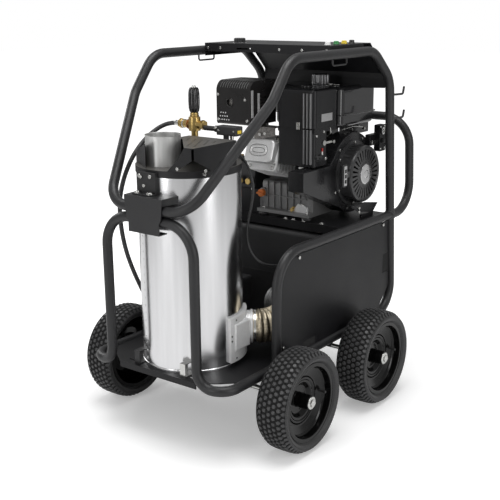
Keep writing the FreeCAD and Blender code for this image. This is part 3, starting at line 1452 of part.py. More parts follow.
def blower_housing():
    """Pressed cooling shroud: open towards the engine, with the fan's opening in its face."""
    outer = one([face.extrude(X_AXIS * (SHROUD_X1 - SHROUD_X0)) for face in shroud_outline(SHROUD_X0, 0)])
    inner = one([face.extrude(X_AXIS * (SHROUD_X1 - SHROUD_X0 - SHROUD_T))
                 for face in shroud_outline(SHROUD_X0, SHROUD_T)])
    eye = rod(RECOIL_R - SHROUD_EYE_IN, V(SHROUD_X0, CRANK_Y, CRANK_Z), V(SHROUD_X1 + 1, CRANK_Y, CRANK_Z))
    return outer.cut(inner).cut(eye)


def recoil_cover():
    """Starter cover: dished cup, flange, centre boss and a ring of tapered radial slots."""
    length = RECOIL_X1 - SHROUD_X1
    floor = length - RECOIL_DISH
    t = RECOIL_T
    e = RECOIL_EDGE_R
    profile = [
        (0, FLANGE_R), (t, FLANGE_R), (t, RECOIL_R), (length - e, RECOIL_R),
        (length - e * 0.3, RECOIL_R - e * 0.3),
        (length, RECOIL_R - e), (length, SLOT_OUT_R + RECOIL_DISH), (floor, SLOT_OUT_R),
        (floor, RECOIL_HUB_R + RECOIL_DISH_SLOPE), (length, RECOIL_HUB_R), (length, 0), (floor - t, 0),
        (floor - t, RECOIL_R - e - t), (length - e, RECOIL_R - t), (0, RECOIL_R - t)]
    cup = lathe(profile, V(SHROUD_X1, CRANK_Y, CRANK_Z))
    return cup.cut(group(recoil_slots()))


def recoil_slots():
    """Teardrop slots, wider at the rim, spaced evenly round the starter's face."""
    slots = []
    x = RECOIL_X1 - SLOT_DEPTH
    shoulder = SLOT_OUT_R - SLOT_TIP
    for number in range(RECOIL_SLOTS):
        slot = prism([
            V(x, SLOT_IN_R, -SLOT_IN_HALF_W), V(x, shoulder, -SLOT_OUT_HALF_W), V(x, SLOT_OUT_R, 0),
            V(x, shoulder, SLOT_OUT_HALF_W), V(x, SLOT_IN_R, SLOT_IN_HALF_W)], X_AXIS * (SLOT_DEPTH + 1))
        slot.rotate(V(0, 0, 0), X_AXIS, number * 360 / RECOIL_SLOTS)
        slots.append(slot.translated(V(0, CRANK_Y, CRANK_Z)))
    return slots


def flywheel_fan():
    """Flywheel disc with fan blades, on the crankshaft's end."""
    centre = V(FAN_X0, CRANK_Y, CRANK_Z)
    disc = rod(FAN_R, centre, centre + X_AXIS * FAN_DISC)
    hub = rod(FAN_HUB_R, centre, centre + X_AXIS * FAN_DEPTH)
    shaft = rod(CRANK_R, V(CASE_X1 - CRANK_L, CRANK_Y, CRANK_Z), centre)
    blades = []
    for number in range(FAN_BLADES):
        blade = box(FAN_X0, FAN_X0 + FAN_DEPTH, BLADE_IN_R, FAN_R - BLADE_EDGE, -BLADE_T / 2, BLADE_T / 2)
        blade.rotate(V(0, BLADE_IN_R, 0), X_AXIS, BLADE_SWEEP)
        blade.rotate(V(0, 0, 0), X_AXIS, number * 360 / FAN_BLADES)
        blades.append(blade.translated(V(0, CRANK_Y, CRANK_Z)))
    return one([disc, hub, shaft] + blades)


def recoil_grip():
    """Pull grip in front of the starter, with the rope's short stub."""
    block = box(GRIP_X - GRIP_T / 2, GRIP_X + GRIP_T / 2, GRIP_Y - GRIP_W, GRIP_Y,
                GRIP_Z - GRIP_L / 2, GRIP_Z + GRIP_L / 2)
    return rounded(block, GRIP_ROUND, runs_along(Z_AXIS))


def rope_guide():
    """Guide lug between the grip and the starter's cup."""
    return box(GRIP_X - GUIDE_IN, GRIP_X + GUIDE_OUT, GRIP_Y + SEAT, CRANK_Y - RECOIL_R + GUIDE_ROOT,
               GRIP_Z - GUIDE_H / 2, GRIP_Z + GUIDE_H / 2)


def guard_block(inset, below):
    """Block of the muffler guard: three tight edges and a wide round along its top front."""
    low = GUARD_Z0 - below
    high = GUARD_Z1 - inset
    front = GUARD_Y0 + inset
    block = box(GUARD_X0 + inset, GUARD_X1 - inset, front, GUARD_Y1 + below, low, high)
    block = rounded(block, GUARD_FRONT_ROUND - inset, lambda edge: edge_at(edge, front, high))
    if below:
        return block
    return rounded(block, GUARD_ROUND,
                   lambda edge: edge_at(edge, front, low) or edge_at(edge, GUARD_Y1, high))


def edge_at(edge, y, z):
    """True for the edge along X at this place."""
    middle = edge.CenterOfMass
    return runs_along(X_AXIS)(edge) and abs(middle.y - y) < 0.1 and abs(middle.z - z) < 0.1


def muffler_guard():
    """Louvred guard box round the muffler, closed below by the muffler's tray."""
    outer = guard_block(0, 0)
    inner = guard_block(GUARD_T, 1)
    slots = []
    top_x = GUARD_X0 + LOUVRE_LEFT
    side_y = GUARD_Y0 + LOUVRE_SIDE_Y
    for number in range(LOUVRE_COUNT):
        y = GUARD_Y0 + GUARD_FRONT_ROUND + LOUVRE_TOP_IN + number * LOUVRE_PITCH * LOUVRE_SPREAD
        slots.append(box(top_x, top_x + LOUVRE_W, y, y + LOUVRE_H, GUARD_Z1 - LOUVRE_CUT, GUARD_Z1 + 1))
        z = GUARD_Z0 + LOUVRE_SIDE_Z + number * LOUVRE_PITCH
        slots.append(box(GUARD_X1 - LOUVRE_SIDE_CUT, GUARD_X1 + 1, side_y, side_y + LOUVRE_W,
                         z, z + LOUVRE_H))
    pipe_x = GUARD_X0 + OUTLET_PIPE_INSET
    pipe_z = GUARD_Z1 - OUTLET_PIPE_DROP
    outlet = rod(OUTLET_PIPE_R, V(pipe_x, GUARD_Y0 - 1, pipe_z), V(pipe_x, GUARD_Y0 + 6, pipe_z))
    return outer.cut(inner).cut(group(slots + [outlet]))


def muffler():
    """Muffler body on a tray that closes the guard, with its pipe down to the cylinder head."""
    gap = MUFFLER_GAP
    tray_z = GUARD_Z0 + MUFFLER_TRAY
    left = GUARD_X0 + gap
    right = GUARD_X1 - gap
    lip_z = tray_z + MUFFLER_LIP
    body = box(left, right, GUARD_Y0 + gap, GUARD_Y1 - gap, tray_z, GUARD_Z1 - gap)
    body = rounded(body, GUARD_FRONT_ROUND - gap, runs_along(X_AXIS))
    tray = box(GUARD_X0 + GUARD_T, GUARD_X1 - GUARD_T, GUARD_Y0 + GUARD_ROUND + GUARD_T, GUARD_Y1,
               GUARD_Z0, lip_z)
    hollow = box(left, right, GUARD_Y0 + GUARD_ROUND, GUARD_Y1 + 1, tray_z, lip_z + 1)
    stand = V(CYL_X - EXHAUST_LEFT, EXHAUST_Y, CRANK_Z + CYL_H)
    pipe_solid = rod(EXHAUST_R, stand, V(stand.x, stand.y, tray_z))
    return one([tray.cut(hollow), body, pipe_solid]).cut(PARTS["cylinder"]).cut(PARTS["muffler_guard"])


def air_cleaner_cover():
    """Boxy air cleaner cover with ridges down its front near the corner."""
    body = box(CLEANER_X0, CLEANER_X1, CLEANER_Y0, CLEANER_Y1, CLEANER_Z0, CLEANER_Z1)
    body = rounded(body, CLEANER_ROUND, runs_along(Z_AXIS))
    body = rounded(body, CLEANER_TOP_ROUND, lambda edge: edge.CenterOfMass.z > CLEANER_Z1 - 1)
    ribs = cleaner_ribs(CLEANER_RIB, CLEANER_Z0, CLEANER_Z1 - CLEANER_RIB_DROP)
    return one([body] + ribs)


def cleaner_ribs(out, z0, z1):
    """Ridges down the air cleaner's front near its right corner."""
    front = CLEANER_Y0 - out
    root = CLEANER_Y0 + CLEANER_RIB_ROOT
    starts = [CLEANER_X1 - back for back in CLEANER_RIBS]
    return [box(x, x + CLEANER_RIB, front, root, z0, z1) for x in starts]


def air_cleaner_base():
    """Lower case of the air cleaner, narrower at the back, with the ridges carried down."""
    inset = CLEANER_BASE_IN
    right = CLEANER_X1 - inset
    front = CLEANER_Y0 + inset
    body = box(CLEANER_X0, right, front, CLEANER_BASE_Y1, CLEANER_BASE_Z, CLEANER_Z0 - CLEANER_SEAM)
    body = rounded(body, CLEANER_ROUND - inset, runs_along(Z_AXIS))
    tray = box(CLEANER_X0 + inset, right, front, CLEANER_Y1 - inset, CLEANER_Z0 - CLEANER_TRAY, CLEANER_Z0)
    ribs = cleaner_ribs(CLEANER_RIB_OUT, CLEANER_BASE_Z + CLEANER_RIB_UP, CLEANER_Z0)
    bores = [rod(pin_r + SHAFT_PLAY, V(right - LEVER_PIN_L, y, z), V(CLEANER_X1, y, z))
             for y, z, pin_r in (THROTTLE_PIVOT, CHOKE_PIVOT)]
    return one([body, tray] + ribs).cut(group(bores))


def carburettor():
    """Carburettor between the air cleaner's base and the cylinder head, with its float bowl."""
    y0 = CLEANER_BASE_Y1
    middle = y0 + CARB_L / 2
    bowl_x = CARB_X0 + BOWL_X
    body = box(CARB_X0, CARB_X1, y0, y0 + CARB_L, CARB_Z0, CARB_Z1)
    bowl = rod(BOWL_R, V(bowl_x, middle, CARB_Z0 - BOWL_DROP), V(bowl_x, middle, CARB_Z0 + BOWL_SINK))
    throat = rod(THROAT_R, V(CYL_X + BOWL_X, middle, THROAT_Z), V(CARB_X0 + THROAT_SINK, middle, THROAT_Z))
    return one([body, bowl, throat]).cut(PARTS["cylinder"]).cut(PARTS["crankcase"])


def fuel_tank():
    """Two pressed halves joined at a flange, with a filler neck and two brackets."""
    r = TANK_ROUND
    step = TANK_STEP
    rim = TANK_FLANGE
    x0, x1, y0, y1 = TANK_X0, TANK_X1, TANK_Y0, TANK_Y1
    upper = box(x0, x1, y0, y1, TANK_SEAM_Z, TANK_Z1)
    upper = rounded(upper, r, runs_along(Z_AXIS))
    upper = rounded(upper, TANK_TOP_ROUND, lambda edge: edge.CenterOfMass.z > TANK_Z1 - 1)
    lower = box(x0 + step, x1 - step, y0 + step, y1 - step, TANK_Z0, TANK_SEAM_Z)
    lower = rounded(lower, r - step, runs_along(Z_AXIS))
    lower = rounded(lower, TANK_LOW_ROUND, lambda edge: edge.CenterOfMass.z < TANK_Z0 + 1)
    half_t = TANK_FLANGE_T / 2
    flange = box(x0 - rim, x1 + rim, y0 - rim, y1 + rim, TANK_SEAM_Z - half_t, TANK_SEAM_Z + half_t)
    flange = rounded(flange, r + rim, runs_along(Z_AXIS))
    neck_r = CAP_R - NECK_IN
    neck = pipe(neck_r, neck_r - NECK_T, V(CAP_X, CAP_Y, TANK_Z1 - 1), V(CAP_X, CAP_Y, TANK_Z1 + NECK_H))
    legs = [box(x, x + TANK_LEG_W, CRANK_Y - TANK_LEG_FRONT, CRANK_Y + TANK_LEG_BACK,
                CRANK_Z + CASE_R - TANK_LEG_SINK, TANK_Z0 + 1) for x in TANK_LEG_X]
    body = one([upper, lower, flange, neck] + legs)
    return body.cut(PARTS["crankcase"])


def fuel_cap():
    """Screw cap with finger lobes over the tank's neck."""
    z0 = TANK_Z1 + SEAT
    cap = rod(CAP_R, V(CAP_X, CAP_Y, z0), V(CAP_X, CAP_Y, z0 + CAP_H))
    well = rod(CAP_R - NECK_IN + SHAFT_PLAY, V(CAP_X, CAP_Y, z0), V(CAP_X, CAP_Y, TANK_Z1 + NECK_H + 1))
    grooves = []
    for number in range(CAP_LOBES):
        turn = math.radians(number * 360 / CAP_LOBES)
        centre = V(CAP_X, CAP_Y, z0) + V(math.cos(turn), math.sin(turn), 0) * (CAP_R + CAP_GROOVE_OUT)
        grooves.append(rod(CAP_GROOVE_R, centre, centre + Z_AXIS * CAP_H))
    return cap.cut(well).cut(group(grooves))


def lock_centre():
    """Middle of the lock's hole on the switch box's face."""
    return V(SWITCH_X1, (SWITCH_Y0 + SWITCH_Y1) / 2, SWITCH_Z1 - LOCK_DROP)


def key_switch():
    """Ignition switch box on the blower housing with a ring round the key's hole."""
    body = box(SWITCH_X0, SWITCH_X1, SWITCH_Y0, SWITCH_Y1, SWITCH_Z0, SWITCH_Z1)
    body = rounded(body, SWITCH_ROUND, runs_along(X_AXIS))
    lock = lock_centre()
    ring = rod(LOCK_R, lock, lock + X_AXIS * LOCK_H)
    bore = rod(KEY_R + SHAFT_PLAY, lock - X_AXIS * LOCK_BORE_L, lock + X_AXIS * (LOCK_H + 1))
    arm_z = SWITCH_Z0 + SWITCH_ARM_LOW
    arm = box(SHROUD_X1, SWITCH_X0, SWITCH_Y0 - SWITCH_ARM_L, SWITCH_Y1, arm_z, arm_z + SWITCH_ARM_H)
    return one([body, ring, arm]).cut(bore)


def ignition_key():
    """Key with a round barrel and a flat bow."""
    lock = lock_centre()
    barrel = rod(KEY_R, lock - X_AXIS * KEY_IN, lock + X_AXIS * KEY_OUT)
    start = lock.x + BOW_GAP
    half_w = BOW_W / 2
    bow = box(start, start + BOW_L, lock.y - BOW_T / 2, lock.y + BOW_T / 2, lock.z - half_w, lock.z + half_w)
    bow = rounded(bow, BOW_ROUND, runs_along(Y_AXIS))
    return barrel.fuse(bow)


def throttle_lever():
    """Flat lever on a pivot beside the air cleaner."""
    x0 = CLEANER_X1 - CLEANER_BASE_IN + SEAT
    y, z, pin_r = THROTTLE_PIVOT
    half = THROTTLE_ARM_W / 2
    end = y + THROTTLE_ARM_L
    disc = rod(THROTTLE_EYE_R, V(x0, y, z), V(x0 + LEVER_T, y, z))
    arm = box(x0, x0 + LEVER_T, y - half, end, z - half, z + half)
    tip = rod(THROTTLE_TIP_R, V(x0, end, z), V(x0 + THROTTLE_TIP_L, end, z))
    pin = rod(pin_r, V(x0 - LEVER_PIN_L, y, z), V(x0, y, z))
    return one([disc, arm, tip, pin])


def choke_lever():
    """Round pull tip on a small arm at the front of the air cleaner's base."""
    x0 = CLEANER_X1 - CLEANER_BASE_IN + SEAT
    y, z, pin_r = CHOKE_PIVOT
    half = CHOKE_ARM_W / 2
    end = y - CHOKE_ARM_L
    disc = rod(CHOKE_EYE_R, V(x0, y, z), V(x0 + LEVER_T, y, z))
    arm = box(x0, x0 + LEVER_T, end, y + half, z - half, z + half)
    tip = rod(CHOKE_TIP_R, V(x0, end, z), V(x0 + CHOKE_TIP_L, end, z))
    pin = rod(pin_r, V(x0 - LEVER_PIN_L, y, z), V(x0, y, z))
    return one([disc, arm, tip, pin])


def dipstick():
    """Oil filler cap with its rod in the crankcase's spout."""
    x = DIPSTICK_X
    z = DIPSTICK_Z
    y = CASE_Y0 - SPOUT_L - SEAT
    front = y - DIPSTICK_CAP_H + WING_SINK
    cap = rod(DIPSTICK_R, V(x, y - DIPSTICK_CAP_H, z), V(x, y, z))
    wings = box(x - DIPSTICK_R, x + DIPSTICK_R, front - WING_L, front, z - WING_T / 2, z + WING_T / 2)
    stick = rod(STICK_R - SHAFT_PLAY, V(x, y, z), V(x, y + STICK_L, z))
    return one([cap, wings, stick])


def spark_plug_cap():
    """Boot over the plug on the cylinder head with its lead back to the shroud."""
    lead = bent_rod([V(*point) for point in PLUG_ROUTE], PLUG_BENDS, PLUG_LEAD_R)
    boot = rod(PLUG_BOOT_R, V(*PLUG_SEAT), V(*PLUG_ROUTE[0]))
    return boot.fuse(lead).cut(PARTS["cylinder"]).cut(PARTS["air_cleaner_base"]).cut(PARTS["blower_housing"])


def pump():
    """Plunger pump: round crankcase end, gear case and mounting plate against the engine."""
    body = box(PUMP_X0, PUMP_X1 - PUMP_FLANGE_T, PUMP_Y0, PUMP_Y1, PUMP_Z0, PUMP_Z1)
    body = rounded(body, PUMP_ROUND, runs_along(X_AXIS))
    flange = rod(CASE_R - PUMP_FLANGE_IN, V(PUMP_X1 - PUMP_FLANGE_T, CRANK_Y, CRANK_Z),
                 V(PUMP_X1, CRANK_Y, CRANK_Z))
    cap = rod(PUMP_CAP_R, V(PUMP_X0 - PUMP_CAP_H, CRANK_Y, CRANK_Z), V(PUMP_X0, CRANK_Y, CRANK_Z))
    return one([body, flange, cap])


def pump_head():
    """Brass manifold in front of the pump with three valve plugs above and an outlet."""
    y1 = PUMP_Y0
    y0 = y1 - HEAD_DEPTH
    left = PUMP_X0 + HEAD_IN_LEFT
    right = PUMP_X1 - HEAD_IN_RIGHT
    body = box(left, right, y0, y1, HEAD_Z0, HEAD_Z1)
    body = rounded(body, HEAD_ROUND, runs_along(X_AXIS))
    pitch = (right - left) / PLUNGERS
    top_y = y0 + TOP_PLUG_Y
    front_z = HEAD_Z0 + FRONT_PLUG_Z
    plugs = []
    for number in range(PLUNGERS):
        x = left + pitch * (number + 0.5)
        plugs.append(rod(VALVE_PLUG_R, V(x, top_y, HEAD_Z1 - 1), V(x, top_y, HEAD_Z1 + VALVE_PLUG_L)))
        plugs.append(rod(VALVE_PLUG_R, V(x, y0 - VALVE_PLUG_L, front_z), V(x, y0 + 1, front_z)))
    port_y = y0 + PUMP_PORT_Y
    ports = [rod(PUMP_PORT_R, V(left - 1, port_y, HEAD_Z0 + up), V(left + PUMP_PORT_L, port_y, HEAD_Z0 + up))
             for up in PUMP_PORT_Z]
    return one([body] + plugs).cut(group(ports))


def unloader_body():
    """Brass cross on the boiler's outlet riser: side ports, plug, elbow and valve bonnet."""
    c = V(UNLOADER_X, UNLOADER_Y, UNLOADER_Z)
    riser = rod(RISER_R, V(UNLOADER_X, UNLOADER_Y, DRUM_TOP_Z + BAND_H), c)
    body = rod(VALVE_BODY_R, c - Z_AXIS * VALVE_BODY_LOW, c + Z_AXIS * VALVE_BODY_UP)
    ports = rod(PORT_TUBE_R, c - X_AXIS * PORT_LEFT, c + X_AXIS * PORT_RIGHT)
    bonnet = rod(PORT_TUBE_R, c, V(UNLOADER_X, UNLOADER_Y, KNOB_LOW_Z - SEAT))
    stem_bore = rod(STEM_R + SHAFT_PLAY, c + Z_AXIS * STEM_BORE_UP, V(UNLOADER_X, UNLOADER_Y, KNOB_LOW_Z))
    nuts = [bolt(c + X_AXIS * x, X_AXIS * side, PORT_NUT_R, PORT_NUT_L)
            for x, side in ((-NUT_LEFT_X, -1), (NUT_RIGHT_X, 1))]
    return one([riser, body, ports, bonnet] + nuts).cut(stem_bore)


def unloader_knob():
    """Tapered adjusting knob with flutes, a stem down into the valve and a bright tip."""
    base = V(UNLOADER_X, UNLOADER_Y, 0)
    cone = Part.makeCone(KNOB_R - KNOB_TAPER, KNOB_R, KNOB_H, base + Z_AXIS * KNOB_LOW_Z, Z_AXIS)
    flutes = []
    for number in range(KNOB_FLUTES):
        turn = 2 * math.pi * number / KNOB_FLUTES
        out = V(math.cos(turn), math.sin(turn), 0) * (KNOB_R + FLUTE_OUT)
        foot = base + out + Z_AXIS * (KNOB_LOW_Z + FLUTE_UP)
        flutes.append(rod(FLUTE_R, foot, foot + Z_AXIS * KNOB_H))
    stem = rod(STEM_R, base + Z_AXIS * (UNLOADER_Z + STEM_UP), base + Z_AXIS * KNOB_LOW_Z)
    tip = rod(KNOB_TIP_R, base + Z_AXIS * KNOB_TOP_Z, base + Z_AXIS * (KNOB_TOP_Z + KNOB_TIP_H))
    return one([cone.cut(group(flutes)), stem, tip])


def pressure_switch():
    """Switch box on the valve's right port."""
    y = UNLOADER_Y
    half = SWITCH_BOX_W / 2
    stub_z = UNLOADER_Z - SWITCH_STUB_DROP
    leg_x = SWITCH_BOX_X0 + SWITCH_LEG_IN
    body = box(SWITCH_BOX_X0, SWITCH_BOX_X1, y - half, y + half, SWITCH_BOX_Z0, SWITCH_BOX_Z0 + SWITCH_BOX_H)
    body = rounded(body, SWITCH_BOX_ROUND, runs_along(X_AXIS))
    stub = rod(SWITCH_STUB_R, V(UNLOADER_X + PORT_RIGHT, y, stub_z), V(SWITCH_BOX_X0 + 1, y, stub_z))
    leg = rod(SWITCH_LEG_R, V(leg_x, y, DRUM_TOP_Z + BAND_H), V(leg_x, y, SWITCH_BOX_Z0 + 1))
    return one([body, stub, leg])


def bolts():
    """Hex bolts of the panels, clamp, platform and cover, one size."""
    seats = []
    for y0, z0 in panel_tab_corners():
        for side in SIDES:
            place = V(side * (SIDE_X + PANEL_T), y0 + PANEL_TAB_W * PANEL_BOLT_Y,
                      z0 + PANEL_TAB_W * PANEL_BOLT_Z)
            seats.append((place, X_AXIS * side))
    for x in (CLAMP_X0 + CLAMP_BOLT_LEFT, CLAMP_X1 - CLAMP_BOLT_RIGHT):
        seats.append((V(x, CLAMP_Y - CLAMP_BOLT_IN, BRACKET_TOP_Z + BRACKET_T + CLAMP_T), Z_AXIS))
        seats.append((V(x, CLAMP_Y, CLAMP_TOP_Z - CLAMP_BOLT_IN), -Y_AXIS))
    for x, y in mount_points():
        seats.append((V(x, y, CASE_Z0 + CASE_FLANGE), Z_AXIS))
    return group([bolt(seat, axis) for seat, axis in seats])


def build_engine():
    """Engine from the crankcase out to the starter, tank, air cleaner and controls."""
    PARTS["crankcase"] = crankcase()
    PARTS["cylinder"] = cylinder()
    PARTS["valve_cover"] = valve_cover()
    PARTS["blower_housing"] = blower_housing()
    PARTS["recoil_cover"] = recoil_cover().fuse(rope_guide())
    PARTS["flywheel_fan"] = flywheel_fan()
    PARTS["recoil_grip"] = recoil_grip()
    PARTS["muffler_guard"] = muffler_guard()
    PARTS["muffler"] = muffler()
    PARTS["air_cleaner_cover"] = air_cleaner_cover()
    PARTS["air_cleaner_base"] = air_cleaner_base()
    PARTS["carburettor"] = carburettor()
    PARTS["fuel_tank"] = fuel_tank()
    PARTS["fuel_cap"] = fuel_cap()
    PARTS["key_switch"] = key_switch()
    PARTS["ignition_key"] = ignition_key()
    PARTS["throttle_lever"] = throttle_lever()
    PARTS["choke_lever"] = choke_lever()
    PARTS["dipstick"] = dipstick()
    PARTS["spark_plug_cap"] = spark_plug_cap()


def build_water():
    """Pump, valve and hoses."""
    PARTS["pump"] = pump()
    PARTS["pump_head"] = pump_head()
    PARTS["unloader_body"] = unloader_body()
    PARTS["unloader_knob"] = unloader_knob()
    PARTS["pressure_switch"] = pressure_switch()
    PARTS["outlet_hose"] = hose(OUTLET_ROUTE, OUTLET_D, "outlet_hose")
    PARTS["drain_hose"] = hose(DRAIN_ROUTE, DRAIN_D, "drain_hose")


def save():
    """Writes each sub-part, moved so that the origin lies under the middle of the whole."""
    os.makedirs("parts", exist_ok=True)
    front = PARTS["front_bracket"].BoundBox.YMin
    back = PARTS["push_bar"].optimalBoundingBox(False).YMax
    shift = V(0, -(front + back) / 2, 0)
    for name, shape in PARTS.items():
        shape.translated(shift).exportStep(os.path.join("parts", name + ".step"))
    print("nodes", len(PARTS), "shift", round(shift.y, 3))


build_frame()
LOOPS = group([PARTS["frame_tube_right"], PARTS["frame_tube_left"]])
build_wheels(LOOPS)
build_boiler()
build_tray_parts()
build_sheets(LOOPS)
build_engine()
build_water()
PARTS["bolts"] = bolts()
save()
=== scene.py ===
import math

import bmesh
import bpy
from mathutils import Matrix, Vector


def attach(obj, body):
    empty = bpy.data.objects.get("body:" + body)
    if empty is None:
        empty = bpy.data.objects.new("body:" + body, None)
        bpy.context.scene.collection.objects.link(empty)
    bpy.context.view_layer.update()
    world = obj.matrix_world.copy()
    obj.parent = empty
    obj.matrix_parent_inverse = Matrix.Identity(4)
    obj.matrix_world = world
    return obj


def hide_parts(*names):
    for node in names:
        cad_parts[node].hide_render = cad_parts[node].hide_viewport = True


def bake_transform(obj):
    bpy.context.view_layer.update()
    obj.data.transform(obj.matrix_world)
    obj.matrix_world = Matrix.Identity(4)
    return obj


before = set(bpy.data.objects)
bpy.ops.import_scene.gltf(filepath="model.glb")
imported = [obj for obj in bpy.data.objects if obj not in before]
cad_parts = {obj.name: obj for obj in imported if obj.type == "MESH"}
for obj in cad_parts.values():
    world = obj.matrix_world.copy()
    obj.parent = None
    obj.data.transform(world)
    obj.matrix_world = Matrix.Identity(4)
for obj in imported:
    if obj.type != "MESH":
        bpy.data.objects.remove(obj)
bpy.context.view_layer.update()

MID_AXLE = -71.212  # mm from the middle of the outer box to mid wheelbase
RIGHT, LEFT, BACK, FRONT, UP, DOWN = (1, 0, 0), (-1, 0, 0), (0, 1, 0), (0, -1, 0), (0, 0, 1), (0, 0, -1)


def at(x, y, z):
    """Point in metres for millimetres from mid wheelbase, as the part's source measures."""
    return Vector((x, y + MID_AXLE, z)) / 1000


def feed(tree, node, inputs):
    """Gives a node's inputs their values, or links them to other nodes' outputs."""
    for name, value in inputs.items():
        if isinstance(value, bpy.types.NodeSocket):
            tree.links.new(value, node.inputs[name])
        else:
            node.inputs[name].default_value = value


def add_node(tree, kind, inputs=None, **settings):
    """New node with its settings and its inputs."""
    node = tree.nodes.new(kind)
    for name, value in settings.items():
        setattr(node, name, value)
    feed(tree, node, inputs or {})
    return node


def surface(name):
    """New material, its node tree and its shader."""
    material = bpy.data.materials.new(name)
    material.use_nodes = True
    return material, material.node_tree, material.node_tree.nodes["Principled BSDF"]


def camera_ray(tree):
    """Socket that is 1 for what the camera sees directly."""
    return add_node(tree, "ShaderNodeLightPath").outputs["Is Camera Ray"]


def floor_surface():
    """Matte pale floor whose glow, for the camera alone, grows away from the machine."""
    material, tree, shader = surface("floor_paper")
    place = add_node(tree, "ShaderNodeTexCoord")
    reach = add_node(tree, "ShaderNodeVectorMath", {0: place.outputs["Object"]}, operation="LENGTH")
    fade = add_node(tree, "ShaderNodeMapRange",
                    {"Value": reach.outputs["Value"], "From Min": 0.5, "From Max": 2.2, "To Min": 0.29,
                     "To Max": 0.75})
    glow = add_node(tree, "ShaderNodeMath", {0: camera_ray(tree), 1: fade.outputs["Result"]},
                    operation="MULTIPLY")
    feed(tree, shader, {"Base Color": (0.86, 0.86, 0.86, 1), "Roughness": 0.9,
                        "Emission Color": (1, 1, 1, 1), "Emission Strength": glow.outputs[0]})
    return material


def card(name, centre, size, facing, material):
    """Flat rectangle that faces a point."""
    mesh = bpy.data.meshes.new(name)
    half_w, half_h = size[0] / 2, size[1] / 2
    corners = [(-half_w, -half_h, 0), (half_w, -half_h, 0), (half_w, half_h, 0), (-half_w, half_h, 0)]
    mesh.from_pydata(corners, [], [(0, 1, 2, 3)])
    piece = bpy.data.objects.new(name, mesh)
    piece.location = centre
    piece.rotation_euler = (Vector(facing) - Vector(centre)).to_track_quat("Z", "Y").to_euler()
    mesh.materials.append(material)
    bpy.context.collection.objects.link(piece)
    return piece


card("floor", (0, 0, 0), (40, 40), (0, 0, 1), floor_surface())
world = bpy.data.worlds.new("studio_air")
bpy.context.scene.world = world
world.use_nodes = True
air = world.node_tree
lift = add_node(air, "ShaderNodeMapRange", {"Value": camera_ray(air), "To Min": 0.42, "To Max": 1.0})
feed(air, air.nodes["Background"], {"Color": (1, 1, 1, 1), "Strength": lift.outputs["Result"]})


def lamp(name, place, size, watts):
    """Square soft lamp that points at the middle of the machine."""
    light = bpy.data.lights.new(name, "AREA")
    light.shape = "RECTANGLE"
    light.size, light.size_y = size
    light.energy = watts
    piece = bpy.data.objects.new(name, light)
    piece.location = place
    piece.rotation_euler = (Vector((0, 0, 0.6)) - Vector(place)).to_track_quat("-Z", "Y").to_euler()
    bpy.context.collection.objects.link(piece)


lamp("overhead_lamp", (0.3, -0.4, 4.2), (2.6, 2.6), 105)
lamp("left_lamp", (-0.7, -3.9, 1.7), (0.8, 3.0), 34)
lamp("right_lamp", (3.9, -0.75, 1.7), (0.9, 3.0), 36)
lamp("far_left_lamp", (-3.6, 0.4, 2.4), (1.0, 2.4), 30)

LENS = 66.67
CAMERA_PLACE = at(1870.96, -2449.45, 1375.69)
CAMERA_TARGET = at(-176.6, 242.8, 459.6)
CAMERA_ROLL = math.radians(-0.53)
view = bpy.data.cameras.new("photo_camera")
view.lens = LENS
view.sensor_width = 36
camera = bpy.data.objects.new("photo_camera", view)
aim = (CAMERA_TARGET - CAMERA_PLACE).to_track_quat("-Z", "Y").to_matrix().to_4x4()
camera.matrix_world = Matrix.Translation(CAMERA_PLACE) @ aim @ Matrix.Rotation(CAMERA_ROLL, 4, "Z")
bpy.context.collection.objects.link(camera)
bpy.context.scene.camera = camera
bpy.context.scene.view_settings.view_transform = "Standard"

# Frame: two mirrored side loops, an inner tube each side that holds the side panel, and the
# push bar. All are 1 1/4 inch steel tube, bent on one die, welded and powder coated in a fine
# textured charcoal black.
TUBE_R = 31.75 / 2
BEND_R = 100.0
FOOT_BEND_R = 55.0
PANEL_BEND_R = 115.0
SIDE_X = 276.8
BASE_Z = 247.0
POST_LEAN = 0.0626
SHOULDER = (464.4, 1103.0)
PANEL_Y = -219.0
PANEL_Z = 610.0
PUSH_LOW = (646.0, 608.0)
PUSH_TOP = (621.0, 950.0)
TUBE_SIDES = 28
ARC_STEP = math.radians(7)
BEAD_R = 3.0
SIDES = {"right": 1, "left": -1}


